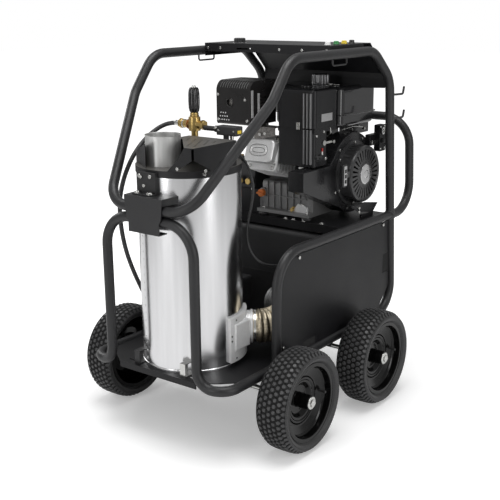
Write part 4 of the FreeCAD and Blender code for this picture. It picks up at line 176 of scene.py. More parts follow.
def finish(name, colour, rough, metal=0.0, grain=700.0, depth=0.25, mottle=0.18, patch=9.0,
           spread=0.12, stretch=(1, 1, 1), coat=0.0, dust=0.0, shine=0.5):
    """Painted, moulded or bare surface: fine grain, uneven colour and uneven gloss."""
    material, tree, shader = surface(name)
    place = add_node(tree, "ShaderNodeTexCoord")
    spots = add_node(tree, "ShaderNodeMapping", {"Scale": stretch, "Vector": place.outputs["Object"]})
    fine, broad = (
        add_node(tree, "ShaderNodeTexNoise", {
            "Scale": scale, "Detail": detail, "Vector": spots.outputs["Vector"]}).outputs["Fac"]
        for scale, detail in ((grain, 2), (patch, 5)))
    sway = add_node(tree, "ShaderNodeMapRange", {
        "Value": fine, "From Min": 0.35, "From Max": 0.65, "To Min": -0.45, "To Max": 0.45})
    blend = add_node(tree, "ShaderNodeMath", {0: broad, 1: sway.outputs["Result"]},
                     operation="ADD", use_clamp=True)
    tint = add_node(tree, "ShaderNodeMix", {
        "Factor": blend.outputs[0], "A": (*[c * (1 - mottle) for c in colour], 1),
        "B": (*[min(1, c * (1 + mottle)) for c in colour], 1)}, data_type="RGBA")
    if dust:
        up = add_node(tree, "ShaderNodeNewGeometry")
        facing = add_node(tree, "ShaderNodeSeparateXYZ", {"Vector": up.outputs["Normal"]})
        film = add_node(tree, "ShaderNodeMath", {0: facing.outputs["Z"], 1: dust},
                        operation="MULTIPLY", use_clamp=True)
        tint = add_node(tree, "ShaderNodeMix", {
            "Factor": film.outputs[0], "A": tint.outputs["Result"], "B": (0.23, 0.22, 0.20, 1)},
            data_type="RGBA")
    gloss = add_node(tree, "ShaderNodeMapRange", {
        "Value": broad, "From Min": 0.3, "From Max": 0.7,
        "To Min": max(0.02, rough * (1 - spread)), "To Max": min(1.0, rough * (1 + spread))})
    bump = add_node(tree, "ShaderNodeBump", {"Strength": depth, "Distance": 0.0006, "Height": fine})
    feed(tree, shader, {
        "Metallic": metal, "Coat Weight": coat, "Specular IOR Level": shine,
        "Base Color": tint.outputs["Result"], "Roughness": gloss.outputs["Result"],
        "Normal": bump.outputs["Normal"]})
    return material


def opened(*meshes):
    """Editable copy of one mesh or several."""
    shape = bmesh.new()
    for mesh in meshes:
        shape.from_mesh(mesh)
    return shape


def kept(shape, name="skin"):
    """Mesh of an edited shape, which is then gone."""
    mesh = bpy.data.meshes.new(name)
    shape.to_mesh(mesh)
    shape.free()
    return mesh


def skin(rings, closed=False, ease=0.0, steps=2):
    """Mesh over rings of points with as many points each; its hard edges can be eased."""
    shape = bmesh.new()
    rows = [[shape.verts.new(point) for point in ring] for ring in rings]
    following = rows[1:] + ([rows[0]] if closed else [])
    for low, high in zip(rows, following):
        for corners in zip(low, low[1:] + low[:1], high[1:] + high[:1], high):
            shape.faces.new(corners)
    if not closed:
        shape.faces.new(rows[0])
        shape.faces.new(rows[-1])
    bmesh.ops.remove_doubles(shape, verts=shape.verts, dist=1e-6)
    bmesh.ops.recalc_face_normals(shape, faces=shape.faces)
    if ease:
        soften(shape, ease, steps)
    return kept(shape)


def soften(shape, ease, steps=2, angle=0.6):
    """Rounds the hard edges of a shape."""
    hard = [edge for edge in shape.edges
            if len(edge.link_faces) == 2 and edge.calc_face_angle(0) > angle]
    bmesh.ops.bevel(shape, geom=hard, offset=ease / 1000, offset_type="OFFSET", segments=steps,
                    profile=0.5, affect="EDGES", clamp_overlap=True)


def bent_line(corners, radii):
    """Points of a tube's centre line: straight runs joined by the die's arcs."""
    points = [corners[0]]
    for before, corner, after, radius in zip(corners, corners[1:], corners[2:], radii):
        into = (corner - before).normalized()
        out = (after - corner).normalized()
        turn = into.angle(out)
        reach = radius / 1000 * math.tan(turn / 2)
        middle = corner + (out - into).normalized() * radius / 1000 / math.cos(turn / 2)
        first = corner - into * reach - middle
        axis = into.cross(out).normalized()
        count = max(2, round(turn / ARC_STEP))
        for step in range(count + 1):
            points.append(middle + Matrix.Rotation(turn * step / count, 3, axis) @ first)
    return points + [corners[-1]]


def tube_rings(points, radius, sides=TUBE_SIDES):
    """Rings of points along a line, carried along without twist."""
    rings = []
    across = None
    for index, point in enumerate(points):
        ahead = points[min(index + 1, len(points) - 1)]
        behind = points[max(index - 1, 0)]
        along = (ahead - behind).normalized()
        across = across or along.orthogonal().normalized()
        across = (across - along * across.dot(along)).normalized()
        other = along.cross(across)
        rings.append([
            point + (across * math.cos(angle) + other * math.sin(angle)) * radius / 1000
            for angle in (2 * math.pi * step / sides for step in range(sides))])
    return rings


def tube(corners, radii, radius=TUBE_R, sides=TUBE_SIDES):
    """Bent round tube as a mesh."""
    return skin(tube_rings(bent_line(corners, radii), radius, sides))


def piece(name, body, slot_name, parts, *nodes, crease=32):
    """One object from meshes, each with its finish; it rides on a body and stands for nodes."""
    whole = bmesh.new()
    finishes = []
    for part, material in parts:
        if material not in finishes:
            finishes.append(material)
        first = len(whole.faces)
        whole.from_mesh(part)
        whole.faces.ensure_lookup_table()
        for face in whole.faces[first:]:
            face.material_index = finishes.index(material)
            face.smooth = True
    mesh = kept(whole, name)
    for material in finishes:
        mesh.materials.append(material)
    mesh.set_sharp_from_angle(angle=math.radians(crease))
    made = bpy.data.objects.new(name, mesh)
    bpy.context.collection.objects.link(made)
    level = made.modifiers.new("flat_faces_stay_flat", "WEIGHTED_NORMAL")
    level.weight = 90
    level.keep_sharp = True
    if body:
        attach(made, body)
    if nodes:
        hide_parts(*nodes)
    return made


def post_y(z):
    """Y of a rear post's centre line at a height."""
    return SHOULDER[0] + (SHOULDER[1] - z) * POST_LEAN


def collar(point, into, along):
    """Weld bead where a tube along one line meets the side of another tube."""
    into = Vector(into)
    along = Vector(along)
    other = into.cross(along)
    line = []
    for step in range(33):
        angle = 2 * math.pi * step / 32
        side = math.sin(angle) * TUBE_R
        back = math.sqrt(max(0.0, TUBE_R ** 2 - side ** 2))
        line.append(point + (along * math.cos(angle) * TUBE_R + other * side - into * back) / 1000)
    return skin(tube_rings(line, BEAD_R, 8))


coat_black = finish("charcoal_powder_coat", (0.018, 0.018, 0.019), 0.36, grain=1500, depth=0.5,
                    mottle=0.4, shine=0.4)
weld_black = finish("coated_weld", (0.032, 0.032, 0.034), 0.45, grain=500, depth=0.6)
for side, sign in SIDES.items():
    loop = [
        (12, -492, 776.5), (160, -492, 776.5), (SIDE_X, -237.8, 1085.3), (SIDE_X, -144.5, 1204),
        (SIDE_X, 346, 1204), (SIDE_X, *SHOULDER), (SIDE_X, post_y(BASE_Z), BASE_Z),
        (SIDE_X, -472, BASE_Z), (177, -492, BASE_Z), (177, -492, 743), (12, -492, 743)]
    corners = [at(sign * x, y, z) for x, y, z in loop]
    side_loop = tube(corners, [BEND_R] * 6 + [FOOT_BEND_R] * 2 + [BEND_R])
    piece(f"frame_loop_{side}", "chassis", "frame_black", [(side_loop, coat_black)], f"frame_tube_{side}")
panel_parts = []
for x in (SIDE_X, -SIDE_X):
    corners = [at(x, PANEL_Y, BASE_Z), at(x, PANEL_Y, PANEL_Z), at(x, post_y(PANEL_Z), PANEL_Z)]
    panel_parts += [(tube(corners, [PANEL_BEND_R]), coat_black),
                    (collar(corners[0], DOWN, BACK), weld_black),
                    (collar(corners[-1], BACK, UP), weld_black)]
piece("panel_tubes_welded", "chassis", "frame_black", panel_parts, "panel_tubes")
push_side = [(post_y(PUSH_LOW[1]), PUSH_LOW[1]), PUSH_LOW, PUSH_TOP]
push_corners = [at(-SIDE_X, *place) for place in push_side]
push_corners += [at(SIDE_X, *place) for place in push_side[::-1]]
piece("push_bar_bent", "chassis", "frame_black", [
    (tube(push_corners, [BEND_R] * 4), coat_black),
    (collar(push_corners[-1], FRONT, UP), weld_black),
    (collar(push_corners[0], FRONT, UP), weld_black)], "push_bar")

# Wheels: 13 inch pneumatic tyres with small turf lugs on deep-dished pressed steel rims in
# gloss black enamel. Each turns on a zinc-plated through axle, held by a domed nut and washer.
AXLE_Y = 229.3
TRACK_X = 369.0
TYRE_R = 165.0
LUG_PITCHES = 54
LUG_H = 6.0
HUB_HALF_L = 47.0
WHEEL_SEGMENTS = 96
HUB = Vector((0, 0, 0))


def turned(profile, centre, axis=RIGHT, segments=WHEEL_SEGMENTS, ease=0.0):
    """Closed profile of (along, radius) pairs in millimetres, turned about an axis."""
    axis = Vector(axis)
    across = axis.orthogonal().normalized()
    rings = []
    for step in range(segments):
        out = Matrix.Rotation(2 * math.pi * step / segments, 3, axis) @ across
        rings.append([centre + (axis * along + out * radius) / 1000 for along, radius in profile])
    return skin(rings, closed=True, ease=ease)


def rounded_profile(corners, reach=2.0, steps=3):
    """Closed profile with its corners rounded by small quadratic curves."""
    smooth = []
    count = len(corners)
    for index, corner in enumerate(corners):
        before = Vector(corners[index - 1])
        after = Vector(corners[(index + 1) % count])
        corner = Vector(corner)
        start = corner + (before - corner).normalized() * min(reach, (before - corner).length * 0.4)
        end = corner + (after - corner).normalized() * min(reach, (after - corner).length * 0.4)
        for step in range(steps + 1):
            t = step / steps
            smooth.append(tuple(start * (1 - t) ** 2 + corner * 2 * t * (1 - t) + end * t * t))
    return smooth


def lathe(profile, reach, centre, axis, segments):
    """Profile with rounded corners, turned about an axis."""
    return turned(rounded_profile(profile, reach), centre, axis, segments)


def stud(centre, axis, radius, height, top, reach, segments):
    """Round head, washer or post that stands on a point and may narrow to its top."""
    return lathe([(0, 0.1), (0, radius), (height, top), (height, 0.1)], reach, centre, axis, segments)


def slab(outline, across, low, high, ease=0.0):
    """Outline in the plane across the x, y or z axis, carried along it between two levels."""
    place = "xyz".index(across)
    return skin([[at(*point[:place], level, *point[place:]) for point in outline]
                 for level in (low, high)], ease=ease)


def block(lo, hi, ease):
    """Box between two corners in millimetres."""
    (x0, y0, z0), (x1, y1, z1) = lo, hi
    return slab([(x0, y0), (x1, y0), (x1, y1), (x0, y1)], "z", z0, z1, ease)


def repeat_tree():
    """Geometry nodes that copy a piece in even steps, each moved and turned on from the last."""
    tree = bpy.data.node_groups.new("evenly_repeated", "GeometryNodeTree")
    for label, kind in (("Piece", "Geometry"), ("Count", "Int"), ("Centre", "Vector"),
                        ("Step", "Vector"), ("Turn", "Vector"), ("Finish", "Material")):
        tree.interface.new_socket(label, in_out="INPUT", socket_type="NodeSocket" + kind)
    tree.interface.new_socket("Pieces", in_out="OUTPUT", socket_type="NodeSocketGeometry")
    given = add_node(tree, "NodeGroupInput").outputs
    line = add_node(tree, "GeometryNodeMeshLine", {
        "Count": given["Count"], "Start Location": given["Centre"], "Offset": given["Step"]})
    home = add_node(tree, "ShaderNodeVectorMath", {0: given["Centre"], "Scale": -1}, operation="SCALE")
    centred = add_node(tree, "GeometryNodeTransform", {
        "Geometry": given["Piece"], "Translation": home.outputs["Vector"]})
    number = add_node(tree, "GeometryNodeInputIndex")
    turn = add_node(tree, "ShaderNodeVectorMath", {0: given["Turn"], "Scale": number.outputs["Index"]},
                    operation="SCALE")
    copies = add_node(tree, "GeometryNodeInstanceOnPoints", {
        "Points": line.outputs["Mesh"], "Instance": centred.outputs["Geometry"],
        "Rotation": turn.outputs["Vector"]})
    real = add_node(tree, "GeometryNodeRealizeInstances", {"Geometry": copies.outputs["Instances"]})
    painted = add_node(tree, "GeometryNodeSetMaterial", {
        "Geometry": real.outputs["Geometry"], "Material": given["Finish"]})
    add_node(tree, "NodeGroupOutput", {"Pieces": painted.outputs["Geometry"]})
    return tree


repeat_nodes = repeat_tree()


def repeated(mesh, count, material, centre=(0, 0, 0), step=(0, 0, 0), turn=(0, 0, 0)):
    """Mesh of count copies, each a step in metres and a turn in radians on from the last."""
    host = bpy.data.objects.new("repeat_host", mesh)
    bpy.context.collection.objects.link(host)
    modifier = host.modifiers.new("evenly_repeated", "NODES")
    modifier.node_group = repeat_nodes
    values = {"Count": count, "Centre": tuple(centre), "Step": tuple(step), "Turn": tuple(turn),
              "Finish": material}
    for socket in repeat_nodes.interface.items_tree:
        if socket.name in values:
            modifier[socket.identifier] = values[socket.name]
    bpy.context.view_layer.update()
    graph = bpy.context.evaluated_depsgraph_get()
    copies = bpy.data.meshes.new_from_object(host.evaluated_get(graph), depsgraph=graph)
    bpy.data.objects.remove(host)
    return copies


def lug(x, around, long_x, long_a):
    """Tread block on the crown of a tyre at the origin: a chamfered diamond-ended block."""
    rings = []
    for inset, height in ((0.0, -2.5), (0.2, LUG_H * 0.75), (1.4, LUG_H)):
        ring = []
        for dx, da in ((-1, -0.45), (-0.45, -1), (0.45, -1), (1, -0.45), (1, 0.45), (0.45, 1),
                       (-0.45, 1), (-1, 0.45)):
            px = x + dx * (long_x / 2 - inset)
            pa = around + da * (long_a / 2 - inset)
            radius = crown_radius(px) + height
            angle = pa / TYRE_R
            ring.append(Vector((px, -math.sin(angle) * radius, math.cos(angle) * radius)) / 1000)
        rings.append(ring)
    return skin(rings)


def crown_radius(x):
    """Radius of the tyre's carcass under the lugs at a distance from mid tread."""
    edge = min(1.0, abs(x) / 52.0)
    return TYRE_R - LUG_H - 1.5 * edge ** 2 - 15.0 * edge ** 7


def tyre_mesh():
    """Carcass with beads, ribs on the sidewall and the rows of turf lugs."""
    half = [(43, 118), (43, 127.5), (45.5, 130.5), (49, 132), (52.5, 134.5), (54.4, 139), (55.6, 144),
            (54.6, 144.6), (56.2, 147.5), (55.4, 150), (54.0, 152)]
    crown = [(x, crown_radius(x)) for x in range(50, -51, -5)]
    profile = half + crown + [(-x, r) for x, r in reversed(half)]
    carcass = turned(profile, HUB)
    # Belt under the lugs, in near-black rubber: painted shade in the tread grooves.
    belt = [(x, crown_radius(x) + 0.25) for x in range(46, -47, -4)]
    base = turned(belt + [(-46, 150), (46, 150)], HUB)
    pitch = 2 * math.pi * TYRE_R / LUG_PITCHES
    rows = []
    for number, x in enumerate((-34, -17, 0, 17, 34)):
        rows.append(lug(x, pitch / 2 * (number % 2), 12.4, pitch * 0.66))
    for sign in (1, -1):
        rows.append(lug(sign * 48, pitch / 2, 12.0, pitch * 0.60))
    lugs = repeated(kept(opened(*rows)), LUG_PITCHES, lug_painted_light_rubber, turn=(2 * math.pi / LUG_PITCHES, 0, 0))
    return carcass, base, lugs


def moved(mesh, offset, mirror=False):
    """Copy of a mesh, moved, or mirrored in X and then moved."""
    copy = opened(mesh)
    if mirror:
        bmesh.ops.scale(copy, vec=(-1, 1, 1), verts=copy.verts)
        bmesh.ops.reverse_faces(copy, faces=copy.faces)
    bmesh.ops.translate(copy, vec=offset, verts=copy.verts)
    return kept(copy)


# The tyre is one rubber compound: the near-black belt under the lugs is painted shade in the grooves, and
# the lighter lug rubber is painted light on the lug tops.
tyre_rubber = finish("tyre_rubber", (0.024, 0.024, 0.025), 0.46, grain=260, depth=0.35, mottle=0.3,
                     dust=0.06)
lug_painted_light_rubber = finish("lug_painted_light_rubber", (0.042, 0.042, 0.043), 0.40, grain=260, depth=0.35, mottle=0.3)
painted_shade_rubber = finish("painted_shade_rubber", (0.007, 0.007, 0.007), 0.85, grain=260, depth=0.3, mottle=0.3)
rim_enamel = finish("gloss_rim_enamel", (0.004, 0.004, 0.004), 0.13, grain=420, depth=0.02, mottle=0.15,
                    shine=0.3)
bright_zinc = finish("bright_zinc", (0.62, 0.62, 0.60), 0.24, metal=1.0, grain=600, depth=0.12,
                     mottle=0.12)
rim_profile = rounded_profile([(-46, 115), (-46, 127.6), (-43.4, 127.6), (-43, 118), (43, 118),
                               (43.4, 127.6), (46, 127.6), (46, 115), (24, 113.4), (19, 108), (10, 84),
                               (9, 78), (12.5, 74), (12.5, 68), (9, 64), (9, 58), (7, 55), (-4, 47),
                               (-5, 43), (-5, 24), (46.4, 23), (46.4, 14), (44.5, 13), (44.5, 8.1),
                               (-46.5, 8.1), (-46.5, 24), (-9, 24), (-9, 46), (3, 61), (5.5, 81),
                               (17, 112)], 1.6)
rim_mesh = turned(rim_profile, HUB)
valve_stem = lathe([(8, 0.2), (8, 4.6), (22, 3.8), (24, 4.4), (38, 4.4), (38, 0.2)], 0.8,
                   Vector((0, 0.096, 0)), RIGHT, 20)
carcass, tread_base, lugs = tyre_mesh()
for end, axle_y in (("front", -AXLE_Y), ("rear", AXLE_Y)):
    for side, sign in SIDES.items():
        hub = at(sign * TRACK_X, axle_y, TYRE_R)
        flip = sign < 0
        name = f"{end}_{side}"
        piece(f"turf_tyre_{name}", f"wheel_{name}", "tyre_rubber",
              [(moved(carcass, hub), tyre_rubber), (moved(tread_base, hub), painted_shade_rubber),
               (moved(lugs, hub), lug_painted_light_rubber)], f"tyre_{name}", crease=40)
        piece(f"dished_rim_{name}", f"wheel_{name}", "rim_black",
              [(moved(rim_mesh, hub, flip), rim_enamel), (moved(valve_stem, hub, flip), tyre_rubber)],
              f"rim_{name}")


def hexagon(centre, axis, radius, height, ease):
    """Hex head or nut with eased corners that stands on a point."""
    axis = Vector(axis).normalized()
    across = axis.orthogonal().normalized()
    rings = []
    arms = [Matrix.Rotation(math.pi / 3 * n, 3, axis) @ across * radius for n in range(6)]
    for lift in (0, height):
        rings.append([centre + (axis * lift + arm) / 1000 for arm in arms])
    return skin(rings, ease=ease)


axle_parts = []
for axle_y in (-AXLE_Y, AXLE_Y):
    reach = TRACK_X + HUB_HALF_L + 8.6
    middle = at(0, axle_y, TYRE_R)
    bar = [(-reach, 0.05), (-reach, 6.5), (1.5 - reach, 8), (reach - 1.5, 8), (reach, 6.5), (reach, 0.05)]
    axle_parts.append((turned(bar, middle, segments=24), bright_zinc))
    for sign in SIDES.values():
        seat = at(sign * (TRACK_X + HUB_HALF_L + 0.3), axle_y, TYRE_R)
        out = Vector((sign, 0, 0))
        axle_parts.append((hexagon(seat, out, 13, 8.0, 0.9), bright_zinc))
        washer = rounded_profile([(0.2, 8.2), (0.2, 21), (2.2, 20), (3.4, 14), (3.4, 8.2)], 0.8)
        axle_parts.append((turned(washer, seat, out, 40), bright_zinc))
        spacer = [(281, 8.1), (281, 13), (321.7, 13), (321.7, 8.1)]
        axle_parts.append((turned([(sign * a, r) for a, r in spacer], middle, segments=32, ease=0.6),
                           bright_zinc))
piece("axles_and_nuts", "chassis", "zinc_steel", axle_parts, "axles")

# Chassis sheets: the base tray between the rails, cross tubes and axle hangers below it, the
# folded front bracket that joins the four nose tubes, and the clamp that holds the drum to it.
# All are folded or cut steel sheet in the same black coat, with edges a little worn.
def refined(node, ease, steps=2):
    """Clean copy of a node's own shape with its hard edges rounded."""
    shape = opened(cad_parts[node].data)
    bmesh.ops.remove_doubles(shape, verts=shape.verts, dist=2e-5)
    bmesh.ops.dissolve_limit(shape, angle_limit=0.004, verts=shape.verts, edges=shape.edges)
    if ease:
        soften(shape, ease, steps, 0.5)
    return kept(shape, "refined_" + node)


sheet_black = finish("satin_black_sheet", (0.008, 0.008, 0.009), 0.40, grain=900, depth=0.4, mottle=0.3,
                     shine=0.26)
piece("tray_sheet", "chassis", "sheet_black", [(refined("base_tray", 0.5), sheet_black)], "base_tray")
piece("cross_tubes_and_hangers", "chassis", "frame_black", [(refined("under_frame", 0.7), coat_black)],
      "under_frame")
piece("nose_bracket", "chassis", "frame_black", [(refined("front_bracket", 0.9), coat_black)],
      "front_bracket")
clamp_parts = [(refined("boiler_clamp", 0.6), coat_black)]
for x in (-42, 8):
    clamp_parts += [
        (hexagon(at(x, -487, 820.2), UP, 8.5, 6.0, 1.4), bright_zinc),
        (stud(at(x, -487, 820), UP, 11, 1.6, 11, 0.5, 24), bright_zinc)]
for x, z in ((-36, 868), (-24, 842)):
    clamp_parts.append((hexagon(at(x, -476.2, z), FRONT, 6.0, 4.0, 0.9), bright_zinc))
for z in (866, 850):
    clamp_parts.append((hexagon(at(20.2, -452, z), RIGHT, 7.0, 5.0, 1.1), bright_zinc))
piece("drum_clamp", "chassis", "sheet_black", clamp_parts, "boiler_clamp")

# Boiler drum: a polished stainless sheet rolled into a tube and seamed down its left front,
# with a rolled bead at its foot. A zinc clip and a coated one hold the bead down on the tray.
DRUM_Y = -299.0
DRUM_R = 163.0
DRUM_FOOT_Z = 252.0
DRUM_TOP_Z = 868.0
SEAM_ANGLE = math.radians(-114)
mirror_steel = finish("polished_stainless", (0.74, 0.74, 0.75), 0.22, metal=1.0, grain=60, depth=0.02,
                      mottle=0.04, patch=5, spread=0.2, stretch=(1, 1, 0.05))
drum_foot = at(0, DRUM_Y, DRUM_FOOT_Z)
drum_h = DRUM_TOP_Z - DRUM_FOOT_Z
drum_profile = rounded_profile([
    (0, 0.1), (0, 165), (9, 165), (10, DRUM_R), (drum_h, DRUM_R), (drum_h, 0.1), (drum_h - 1.5, 0.1),
    (drum_h - 1.5, DRUM_R - 1.5), (1.5, DRUM_R - 1.5), (1.5, 0.1)], 1.2)
drum_parts = [(turned(drum_profile, drum_foot, UP, 160), mirror_steel)]
seam_dir = Vector((math.cos(SEAM_ANGLE), math.sin(SEAM_ANGLE), 0))
for number in range(22):
    spot = at(0, DRUM_Y, 300 + number * 25) + seam_dir * (DRUM_R - 0.4) / 1000
    rivet = lathe([(0, 0.05), (0, 3), (1.4, 2.4), (1.7, 0.05)], 0.5, spot, seam_dir, 12)
    drum_parts.append((rivet, mirror_steel))
drum_parts.append((tube([at(-150, DRUM_Y + 11, 318), at(-190, -285, 318), at(-190, -285, 340)],
                        [12], 9, 20), bright_zinc))
piece("drum", "chassis", "stainless_mirror", drum_parts, "drum_shell")


def one_side(mesh, sign):
    """The part of a mesh that lies on one side of the middle plane."""
    shape = opened(mesh)
    bmesh.ops.delete(shape, geom=[v for v in shape.verts if v.co.x * sign < 0], context="VERTS")
    return kept(shape)


clips = refined("drum_foot_clips", 0.6)
clip_parts = [(one_side(clips, 1), bright_zinc), (one_side(clips, -1), coat_black)]
piece("foot_clips", "chassis", "zinc_steel", clip_parts, "drum_foot_clips")

# Boiler cover and stack: a black band and a folded, vented cover of thin sheet over the drum,
# screwed to it, round a brushed stainless exhaust stack that is left open at the top.
cover_coat = finish("vented_cover_coat", (0.009, 0.009, 0.010), 0.42, grain=900, depth=0.4, mottle=0.3,
                    dust=0.28, shine=0.35)
cover_parts = [(refined("boiler_cover", 0.5), cover_coat)]
for x, y, z, facing in ((94, -457.2, 901, FRONT), (138, -389, 880, (0.84, -0.55, 0)),
                        (154.2, -405, 894, RIGHT), (154.2, -330, 906, RIGHT)):
    cover_parts.append((hexagon(at(x, y, z), facing, 6.0, 4.0, 1.0), bright_zinc))
piece("vented_cover", "chassis", "sheet_black", cover_parts, "boiler_cover")
brushed_steel = finish("brushed_stainless", (0.62, 0.62, 0.61), 0.45, metal=0.85, grain=90, depth=0.1,
                       mottle=0.10, patch=14, stretch=(1, 1, 0.06))
stack_base = at(-40, -370, 889)
stack_profile = rounded_profile([(0, 53.5), (0, 55), (91.5, 55), (93, 56.4), (93, 54.0), (91.5, 53.5)],
                                0.6)
piece("open_stack", "chassis", "stainless_brushed",
      [(turned(stack_profile, stack_base, UP, 96), brushed_steel)], "exhaust_stack")

# Hoses: a rubber pressure hose from the valve round the drum's left side down to its inlet, and
# a thin drain hose from the pressure switch, looped down to the burner's blower. Both are smooth
# black jackets held by crimped sleeves.
PRESSURE_ROUTE = (
    (-113, -205, 993), (-148, -205, 993), (-180, -230, 980), (-198, -278, 948), (-203, -330, 903),
    (-204, -368, 853), (-204, -394, 800), (-204, -406, 745), (-204, -403, 673), (-204, -388, 600),
    (-204, -362, 530), (-203, -326, 455), (-197, -297, 395), (-190, -285, 358), (-190, -285, 340))
DRAIN_ROUTE = ((98, -205, 969), (98, -205, 946), (92, -186, 922), (99, -158, 898), (123, -157, 866),
               (141, -160, 832), (146, -160, 792), (137, -160, 740), (124, -160, 694), (117, -160, 645),
               (123, -158, 602), (143, -152, 568), (166, -134, 548), (182, -104, 539), (184, -64, 532),
               (176, -20, 518), (166, 22, 500), (158, 56, 484), (158, 67, 462), (158, 67, 444.4))


def hose(name, route, diameter, material, node):
    """Smooth round hose along its route's points, fixed to the machine at both ends."""
    line = bpy.data.curves.new(name, "CURVE")
    line.dimensions = "3D"
    line.bevel_depth = diameter / 2000
    line.bevel_resolution = 5
    line.use_fill_caps = True
    spline = line.splines.new("NURBS")
    spline.points.add(len(route) - 1)
    for point, place in zip(spline.points, route):
        point.co = (*at(*place), 1)
    spline.order_u = 3
    spline.use_endpoint_u = True
    spline.resolution_u = 12
    line.materials.append(material)
    made = bpy.data.objects.new(name, line)
    bpy.context.collection.objects.link(made)
    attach(made, "chassis")
    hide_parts(node)
    return made


hose_jacket = finish("hose_jacket", (0.020, 0.020, 0.021), 0.38, grain=900, depth=0.12, mottle=0.2)
hose("pressure_hose", PRESSURE_ROUTE, 14.5, hose_jacket, "outlet_hose")
hose("switch_drain_hose", DRAIN_ROUTE, 9.0, hose_jacket, "drain_hose")
sleeve_parts = []
for place, way, radius in (((-113, -205, 993), LEFT, 7.25), ((-190, -285, 340), UP, 7.25),
                           ((98, -205, 969), DOWN, 4.5), ((158, 67, 444.4), UP, 4.5)):
    sleeve = rounded_profile([(-0.2, radius - 3), (-0.2, radius + 2.6), (6, radius + 2.6),
                              (7, radius + 1.6), (17, radius + 1.6), (26, radius + 0.5),
                              (26, radius - 3)], 0.7)
    sleeve_parts.append((turned(sleeve, at(*place), way, 28), bright_zinc))
piece("hose_sleeves", "chassis", "zinc_steel", sleeve_parts)

# Burner: a bright cast mount screwed to the drum's right side, a short ribbed metal duct that
# bends back to the fan housing, and the fan's finned motor, all standing behind the side panel.
cast_bright = finish("bright_casting", (0.80, 0.80, 0.80), 0.45, metal=0.35, grain=520, depth=0.35,
                     mottle=0.12)
cast_grey = finish("grey_casting", (0.30, 0.30, 0.30), 0.5, metal=0.85, grain=420, depth=0.5, mottle=0.2)
duct_metal = finish("ribbed_duct_metal", (0.50, 0.44, 0.33), 0.42, metal=1.0, grain=160, depth=0.08,
                    mottle=0.3, patch=26)
cast_dark = finish("dark_casting", (0.035, 0.035, 0.036), 0.42, metal=0.4, grain=420, depth=0.4,
                   mottle=0.2)
hole_painted_shade = finish("screw_hole_painted_shade", (0.008, 0.008, 0.008), 0.7, grain=800, depth=0.1)
DUCT_AIM = math.radians(37.25)
DUCT_RIBS = 11
DUCT_L = 166.0
DUCT_Z = 350.0
DUCT_LEAD = 10.0
DUCT_BEND_R = 80.0
DUCT_END = 13.0
DUCT_TURN = math.pi / 2 - DUCT_AIM
RIB_STEPS = 8
FAN_Z = 352.0


def round_drum(angle, radius, z):
    """Point and outward direction on a circle about the drum's axis."""
    out = Vector((math.cos(math.radians(angle)), math.sin(math.radians(angle)), 0))
    return at(out.x * radius, DRUM_Y + out.y * radius, z), out


def duct_station(along):
    """Point and heading on the duct's centre line, in millimetres."""
    out = Vector((math.cos(DUCT_AIM), math.sin(DUCT_AIM), 0))
    start = Vector((0, DRUM_Y, DUCT_Z)) + out * 195
    if along <= DUCT_LEAD:
        return start + out * along, out
    pivot = start + out * DUCT_LEAD + Vector((-out.y, out.x, 0)) * DUCT_BEND_R
    heading = DUCT_AIM + min((along - DUCT_LEAD) / DUCT_BEND_R, DUCT_TURN)
    way = Vector((math.cos(heading), math.sin(heading), 0))
    rest = max(along - DUCT_LEAD - DUCT_TURN * DUCT_BEND_R, 0)
    return pivot + Vector((way.y, -way.x, 0)) * DUCT_BEND_R + way * rest, way


burner_parts = [(refined("burner_cover", 1.6, 3), cast_bright)]
# Flat dark discs on the drum stand for the empty screw holes: painted shade in the holes.
for angle, z in ((2, 405), (-5, 356), (-5, 340), (2, 279), (44, 404)):
    spot, out = round_drum(angle, 174.6, z)
    burner_parts.append((stud(spot, out, 3.2, 0.7, 3.2, 0.2, 16), hole_painted_shade))
for angle, z in ((40, 292), (46, 284), (44, 276)):
    spot, out = round_drum(angle, 174.8, z)
    burner_parts.append((hexagon(spot, out, 4.2, 3.4, 0.6), bright_zinc))
mouth, way = duct_station(0)
collar_ring = rounded_profile([(-8, 50), (-8, 55), (-1, 55), (-1, 50)], 1.4)
burner_parts.append((turned(collar_ring, at(*mouth), way, 64), cast_bright))
piece("burner_mount", "chassis", "cast_aluminium", burner_parts, "burner_cover")
duct_rings = []
duct_steps = (DUCT_RIBS + 1) * RIB_STEPS
for step in range(duct_steps + 1):
    along = min(step * DUCT_L / duct_steps, DUCT_L)
    phase = (along - DUCT_END) / ((DUCT_L - 2 * DUCT_END) / DUCT_RIBS)
    swell = 0.0 if not 0 < phase < DUCT_RIBS else (0.5 - 0.5 * math.cos(2 * math.pi * phase)) ** 0.7
    point, way = duct_station(along)
    side = Vector((-way.y, way.x, 0))
    radius = 51.5 + 4.4 * swell
    duct_rings.append([at(*(point + (side * math.cos(a) + Vector(UP) * math.sin(a)) * radius))
                       for a in (2 * math.pi * n / 56 for n in range(56))])
duct_parts = [(skin(duct_rings), duct_metal)]
for along in (6, DUCT_L - 6):
    point, way = duct_station(along)
    band = rounded_profile([(-4, 50.8), (-4, 52.6), (4, 52.6), (4, 50.8)], 0.5)
    duct_parts += [
        (turned(band, at(*point), way, 56), bright_zinc),
        (hexagon(at(*(point + Vector((0, 0, 52)))), UP, 5, 4, 0.7), bright_zinc)]
piece("ribbed_duct", "chassis", "duct_steel", duct_parts, "air_duct")
blower_parts = [(refined("burner_blower", 2.0, 3), cast_grey)]
fan_y = duct_station(DUCT_L)[0].y + 95
fin = lathe([(0, 47), (0, 50.5), (2, 50.5), (2, 47)], 0.4, at(62, fan_y, FAN_Z), RIGHT, 48)
blower_parts.append((repeated(fin, 9, cast_grey, step=(0.0075, 0, 0)), cast_grey))
